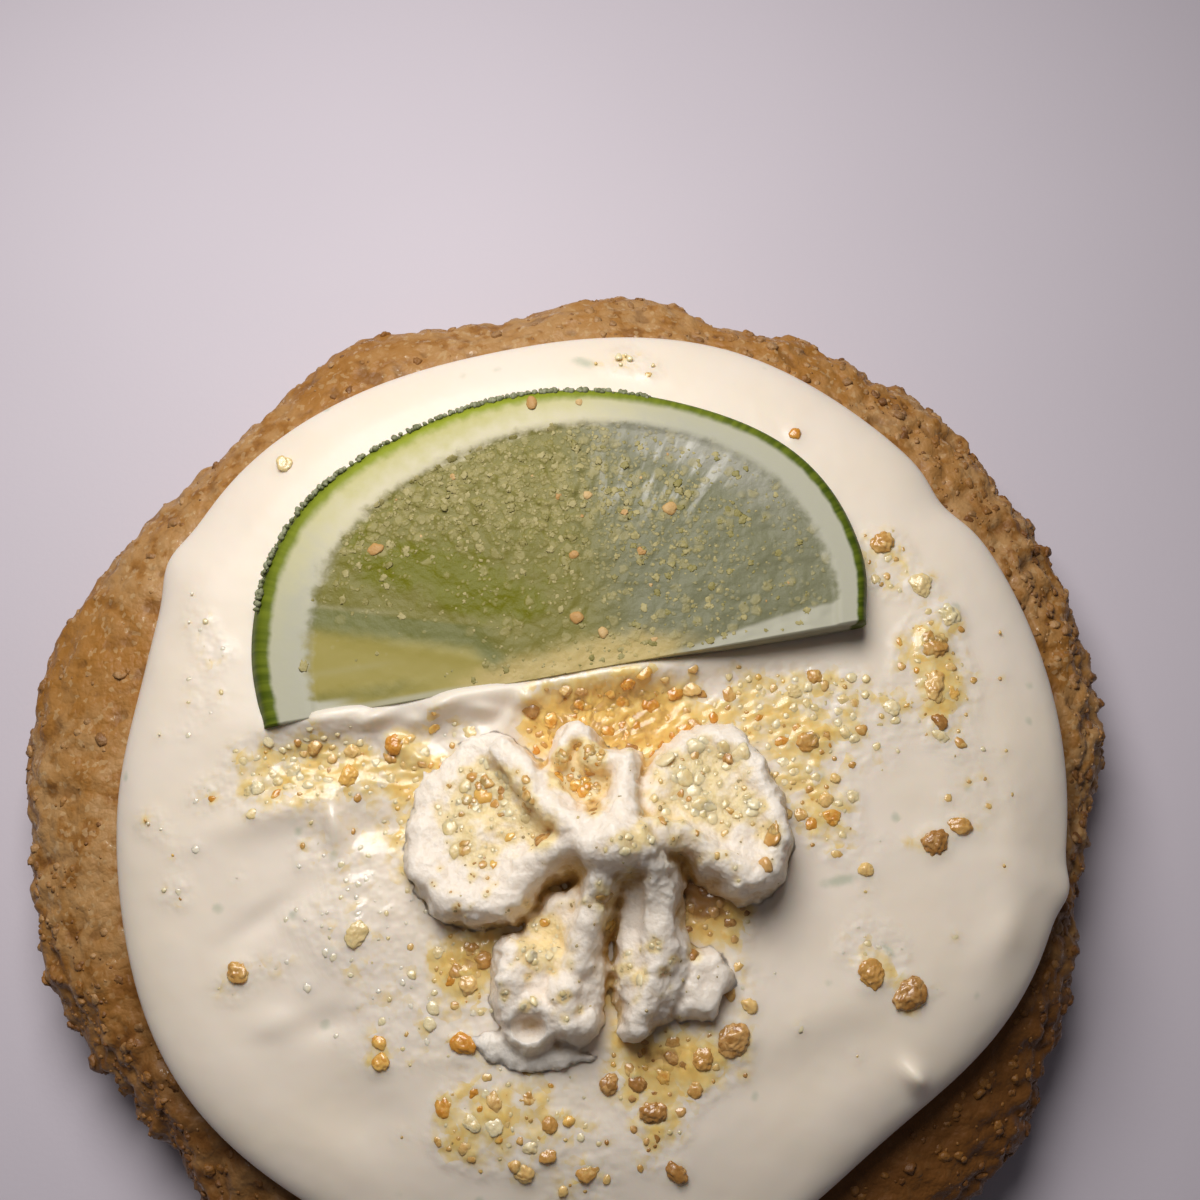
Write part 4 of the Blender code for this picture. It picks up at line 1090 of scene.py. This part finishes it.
# crumbs on the whipped cream: x, y, scatter, count, largest, kind. The first seven are the solid's own
swirlCrumbs = [
    (14.4, 0.2, 0, 1, 1.6, "brown"), (17.8, -6.8, 0, 1, 1.9, "golden"), (17.2, -9.0, 0, 1, 1.5, "brown"),
    (-0.5, -1.6, 1.2, 3, 1.6, "orange"), (-8.0, -2.2, 1.8, 3, 1.5, "golden"),
    (11.4, -3.0, 2.4, 3, 1.3, "pale"), (-6.4, -7.6, 2.0, 2, 1.2, "orange"),
    (-7.3, -2.8, 0, 1, 2.0, "orange"), (-9.1, -3.0, 0.3, 2, 1.5, "golden"),
    (-5.8, -2.3, 0, 1, 0.8, "brown"), (-8.8, -7.2, 0.5, 3, 1.4, "golden"),
    (-1.9, -6.8, 0.5, 3, 1.6, "brown"), (1.2, -1.9, 0.8, 5, 1.6, "orange"),
    (2.5, -4.6, 0.5, 3, 1.1, "brown"), (17.9, -6.3, 0.3, 2, 1.5, "golden"),
    (10.8, -3.3, 0, 1, 0.7, "brown"), (3.4, -12.0, 0.4, 3, 1.7, "golden"),
    (3.9, -14.2, 0.6, 3, 1.3, "orange"), (11.3, -16.5, 0.2, 2, 1.2, "brown"),
    (-1.8, -13.7, 0.3, 2, 0.9, "orange"), (-7.0, -4.0, 4.6, 34, 1.5, "pale"),
    (-7.0, -4.6, 4.6, 22, 1.2, "golden"), (12.4, -2.8, 5.0, 36, 1.8, "pale"),
    (12.6, -4.0, 5.0, 18, 1.1, "golden"), (1.4, -0.6, 2.6, 36, 1.1, "golden"),
    (1.4, -0.4, 2.4, 20, 1.0, "orange"), (-2.0, -19.0, 4.0, 30, 0.9, "pale"),
    (7.0, -18.0, 3.0, 20, 0.9, "pale"), (-2.4, -15.2, 2.0, 16, 1.1, "pale"),
    (4.0, -8.0, 15.0, 120, 0.5, "specks"), (4.0, -8.0, 15.0, 60, 0.6, "pale"),
    (6.0, -6.8, 3.0, 14, 0.9, "pale"), (-8.6, -10.6, 3.0, 14, 0.6, "brown"),
]


swirlSeed = 19


def swirlDraws():
    draw = Random(swirlSeed)
    for row, (x, y, scatter, count, largest, kind) in enumerate(swirlCrumbs):
        for index in range(count):
            turn, away = draw.uniform(0, tau), scatter * sqrt(draw.random())
            size = largest * (1 - shrink * index / count)
            if count > 8:
                size = largest * someSize(draw, 0.35, 1, 2)
            yield x + away * cos(turn), y + away * sin(turn), size, kind, 5000 + 97 * row + index


# crumbs as pieces of their own, one for each kind

crumbKinds = dict(
    golden=dict(colour=(0.80, 0.54, 0.21), deep=(0.58, 0.31, 0.08), rough=0.28, through=0.5),
    brown=dict(colour=(0.66, 0.39, 0.14), deep=(0.40, 0.19, 0.045), rough=0.3, through=0.5),
    pale=dict(colour=(0.85, 0.72, 0.45), deep=(0.79, 0.61, 0.30), rough=0.3, through=0.5),
    orange=dict(colour=(0.86, 0.52, 0.14), deep=(0.66, 0.29, 0.04), rough=0.25, through=0.5),
    clear=dict(colour=(0.86, 0.77, 0.61), deep=(0.84, 0.73, 0.51), rough=0.15, through=0.5),
    specks=dict(colour=(0.60, 0.47, 0.24), deep=(0.36, 0.26, 0.11), rough=0.5, through=0.2),
)


def crumbFinish(kind):
    look = crumbKinds[kind]
    make = Finish("crumb_" + kind)
    tone = make.mask("tone")
    stirred = make.stirred(0.5, 0.15)
    mixed = make.cloud(0.6, 4) * 0.7 + make.chance(0.5, stirred) * 0.3
    colour = make.tint(look["colour"], mixed + (tone - 0.5) * 0.5, 0.3, 0.72, look["deep"])
    height = make.cells(0.5, where=stirred) * -1.0 + make.cloud(0.25, 3) * 0.6
    return make.done({
        "Base Color": colour, "Roughness": look["rough"], "Subsurface Weight": look["through"],
        "Subsurface Radius": (1.0, 0.9, 0.75), "Subsurface Scale": 0.45 * mm,
        "Coat Weight": 0.6, "Coat Roughness": 0.15, "Normal": make.relief(height, 0.05),
    })


def makeCrumbs(placed, swirl):
    bodies = {kind: ([], [], []) for kind in crumbKinds}
    for number, (x, y, size, kind, sunk) in enumerate(placed):
        flat = 0.4 if kind in ("pale", "clear") else 0.46
        divisions = 5 if size > 1.9 else 4 if size > 1.2 else 3 if size > 0.7 else 2
        place = (x, y, creamHeight(x, y) + size * flat * (0.5 - sunk))
        addGrain(*bodies[kind], place, size, number + 1, divisions, flat)
    ground = treeOf(swirl)
    for x, y, size, kind, seed in swirlDraws():
        hit, up, face, far = below(ground, Vector((x, y, 60)))
        if hit:
            flat = 0.42 if kind in ("pale", "golden") else 0.62
            divisions = 3 if size > 0.7 else 2
            addGrain(*bodies[kind], hit - up * size * flat * 0.28, size, seed, divisions, flat, up=up)
    for kind, (points, faces, tones) in bodies.items():
        newPiece("crumbs_" + kind, points, faces, crumbFinish(kind), masks={"tone": tones})


# what lies on the lime: dust of the crumbs over its pulp, and grit of the zest along its rind

limeDust = dict(
    count=1000, smallest=0.22, largest=0.8, seed=23, rusty=0.02, flat=0.16,
    colour=(0.42, 0.36, 0.155), deep=(0.27, 0.235, 0.07),
)
rust = dict(
    places=[(1.0, 27.6, 1.5), (-15.5, 15.5, 1.6), (5.5, 27.0, 0.9), (5.0, 17.6, 1.1), (12.6, 15.2, 1.8),
            (2.4, 6.0, 1.7), (4.6, 4.2, 1.3), (3.0, 12.0, 1.0)],  # x, y, size
    colour=(0.62, 0.42, 0.18), deep=(0.50, 0.28, 0.09),
)
zestGrit = dict(
    count=270, start=66, end=158, smallest=0.26, largest=0.62, seed=29,
    colour=(0.30, 0.31, 0.19), deep=(0.17, 0.18, 0.085),
)


def smallFinish(name, look):
    make = Finish(name)
    tone = make.mask("tone")
    colour = make.tint(look["colour"], make.cloud(0.5, 3) + (tone - 0.5) * 0.8, 0.2, 0.8, look["deep"])
    return make.done({
        "Base Color": colour, "Roughness": 0.5, "Specular IOR Level": 0.3,
        "Normal": make.relief(make.cloud(0.2, 2), 0.05),
    })


def makeLimeDust(piece):
    ground = treeOf(piece)
    draw = Random(limeDust["seed"])
    bodies = {"dust": ([], [], []), "rust": ([], [], [])}
    made = 0
    while made < limeDust["count"]:
        x, y = draw.uniform(-25.5, 25.5), draw.uniform(0.2, 26.5)
        shares = dict(zip(limeMasks, limeColours(x, y)))
        angle = angleOf(x, y)
        inner = limeRing(lime["pulpEdge"], angle)
        outside = hypot(x, y) > inner * limeStretch(inner, angle) - 0.3 or y < cutEdge(x) + 0.4
        if outside or draw.random() > shares["dusty"] + 0.2 * shares["butter"]:
            continue
        made += 1
        size = someSize(draw, limeDust["smallest"], limeDust["largest"], 3)
        hit, up, face, far = below(ground, onLime(x, y))
        if hit:
            kind = "rust" if draw.random() < limeDust["rusty"] else "dust"
            divisions = 2 if size < 0.4 else 3
            place = hit - up * size * 0.03
            addGrain(*bodies[kind], place, size, 9000 + made, divisions, limeDust["flat"], 0.5, up, 16, 1)
    for x, y, size in rust["places"]:
        hit, up, face, far = below(ground, onLime(x, y))
        if hit:
            addGrain(*bodies["rust"], hit, 0.8 * size, int(9990 + x), 3, 0.3, up=up)
    for kind, look in (("dust", limeDust), ("rust", rust)):
        points, faces, tones = bodies[kind]
        material = smallFinish("lime_" + kind, look)
        newPiece("lime_" + kind, points, faces, material, masks={"tone": tones})


def makeZestGrit():
    draw = Random(zestGrit["seed"])
    points, faces, tones = [], [], []
    for number in range(zestGrit["count"]):
        angle = zestGrit["start"] + (zestGrit["end"] - zestGrit["start"]) * draw.random()
        share = draw.random()  # from the rim's top, 0, to its side, 1
        radius = (lime["radius"] - 0.85 + 0.5 * share) * limeStretch(lime["radius"], angle)
        turn, height = radians(angle), 3.4 - 0.8 * share * share
        local = Vector((radius * cos(turn), radius * sin(turn), height))
        size = someSize(draw, zestGrit["smallest"], zestGrit["largest"])
        addGrain(points, faces, tones, limeMatrix @ local, size, 7000 + number, 2, 0.9)
    material = smallFinish("zest_grit", zestGrit)
    newPiece("zest_grit", points, faces, material, masks={"tone": tones})


# loose crumbs that stand out of the cookie's edge

edgeCrumbs = dict(
    count=2700, smallest=0.35, largest=1.25, seed=31, everywhere=0.11, crags=0.8, lowest=1.5, highest=13.5,
    farOut=75, farIn=44, above=6, sunk=0.12,  # the line that finds the edge, and how deep a crumb lies in it
)


def makeEdgeCrumbs(piece):
    ground = treeOf(piece)
    draw = Random(edgeCrumbs["seed"])
    points, faces, tones = [], [], []
    made = 0
    while made < edgeCrumbs["count"]:
        angle = draw.uniform(0, 360)
        share = edgeCrumbs["everywhere"] + edgeCrumbs["crags"] * lobed(angle, cookie["cragPlaces"])
        if draw.random() > share:
            continue
        made += 1
        size = someSize(draw, edgeCrumbs["smallest"], edgeCrumbs["largest"], 3)
        turn, height = radians(angle), draw.uniform(edgeCrumbs["lowest"], edgeCrumbs["highest"])
        out, inner = edgeCrumbs["farOut"], edgeCrumbs["farIn"]
        start = Vector((out * cos(turn), out * sin(turn), height + edgeCrumbs["above"]))
        aim = Vector((inner * cos(turn), inner * sin(turn), height)) - start
        hit, up, face, far = ground.ray_cast(start, aim.normalized())
        if hit:
            divisions = 1 if size < 0.5 else 2 if size < 1.05 else 3
            first = len(tones)
            place = hit - up * size * edgeCrumbs["sunk"]
            addGrain(points, faces, tones, place, size, 12000 + made, divisions, 0.7, 0.3, up, 14, 1)
            # the edge crumbs take the crust's painted shade as well
            tones[first:] = [tone + lobed(angle, cookie["paintedShade"]) for tone in tones[first:]]
    make = Finish("edge_crumbs")
    tone = make.mask("tone")
    colour = make.tint(cookie["beige"], tone + (make.cloud(0.6, 4) - 0.5) * 0.7, 0.1, 1.2, cookie["brown"])
    colour = make.tint(colour, make.cloud(4, 2), 0.45, 0.6, cookie["gold"], 0.6)
    normal = make.relief(make.cloud(0.3, 4), 0.14)
    material = make.done({"Base Color": colour, "Roughness": 0.5, "Normal": normal})
    newPiece("edge_crumbs", points, faces, material, masks={"tone": tones})


# the floor, the light and the camera

studio = dict(
    floor=(0.655, 0.60, 0.67), floorHalf=1.5, lightSize=0.12, lightPlace=(-0.03, 0.09, 0.17),
    lightAim=(-0.005, -0.06, 0.0), lightPower=0.36, lightColour=(1.0, 0.97, 0.94),
    fill=0.06, fillColour=(0.95, 0.93, 1.0, 1),
    cameraPlace=(0.0030, -0.01825, 0.1497), cameraTilt=15, lens=42,
)


def makeStudio():
    make = Finish("floor")
    shade = make.tint(studio["floor"], make.cloud(60, 2), 0.3, 0.7, [part * 0.97 for part in studio["floor"]])
    normal = make.relief(make.cloud(0.6, 2), 0.01)
    material = make.done({"Base Color": shade, "Roughness": 0.6, "Normal": normal})
    half = studio["floorHalf"]
    mesh = bpy.data.meshes.new("floor")
    corners = [(-half, -half, 0), (half, -half, 0), (half, half, 0), (-half, half, 0)]
    mesh.from_pydata(corners, [], [(0, 1, 2, 3)])
    mesh.materials.append(material)
    floor = newObject("floor", mesh)

    lamp = bpy.data.lights.new("key", "AREA")
    lamp.shape = "DISK"
    lamp.size = studio["lightSize"]
    lamp.energy = studio["lightPower"]
    lamp.color = studio["lightColour"]
    key = newObject("key", lamp)
    key.location = studio["lightPlace"]
    key.rotation_euler = (Vector(studio["lightAim"]) - key.location).to_track_quat("-Z", "Y").to_euler()
    key.visible_camera = False

    world = bpy.data.worlds.new("room")
    world.use_nodes = True
    background = world.node_tree.nodes["Background"].inputs
    background["Color"].default_value = studio["fillColour"]
    background["Strength"].default_value = studio["fill"]
    bpy.context.scene.world = world

    lensData = bpy.data.cameras.new("camera")
    lensData.lens = studio["lens"]
    lensData.sensor_width = 36
    lensData.clip_start = 0.001
    camera = newObject("camera", lensData)
    camera.location = studio["cameraPlace"]
    camera.rotation_euler = (radians(studio["cameraTilt"]), 0, 0)
    bpy.context.scene.camera = camera
    bpy.context.scene.view_settings.view_transform = "Standard"


solidOf = {node: bpy.data.objects.get(node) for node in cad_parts}
limeTree, swirlTree = treeOf(solidOf["lime_slice"]), treeOf(solidOf["whipped_cream"])
placed = placedCrumbs(solidOf["lime_cream"], limeTree, swirlTree)
print(len(placed), "crumbs on the cream")
crust = makeCookie()
makeEdgeCrumbs(crust)
makeCream(placed)
half = makeLime()
makeLimeDust(half)
makeZestGrit()
swirl = makeWhipped()
makeCrumbs(placed, swirl)
makeStudio()
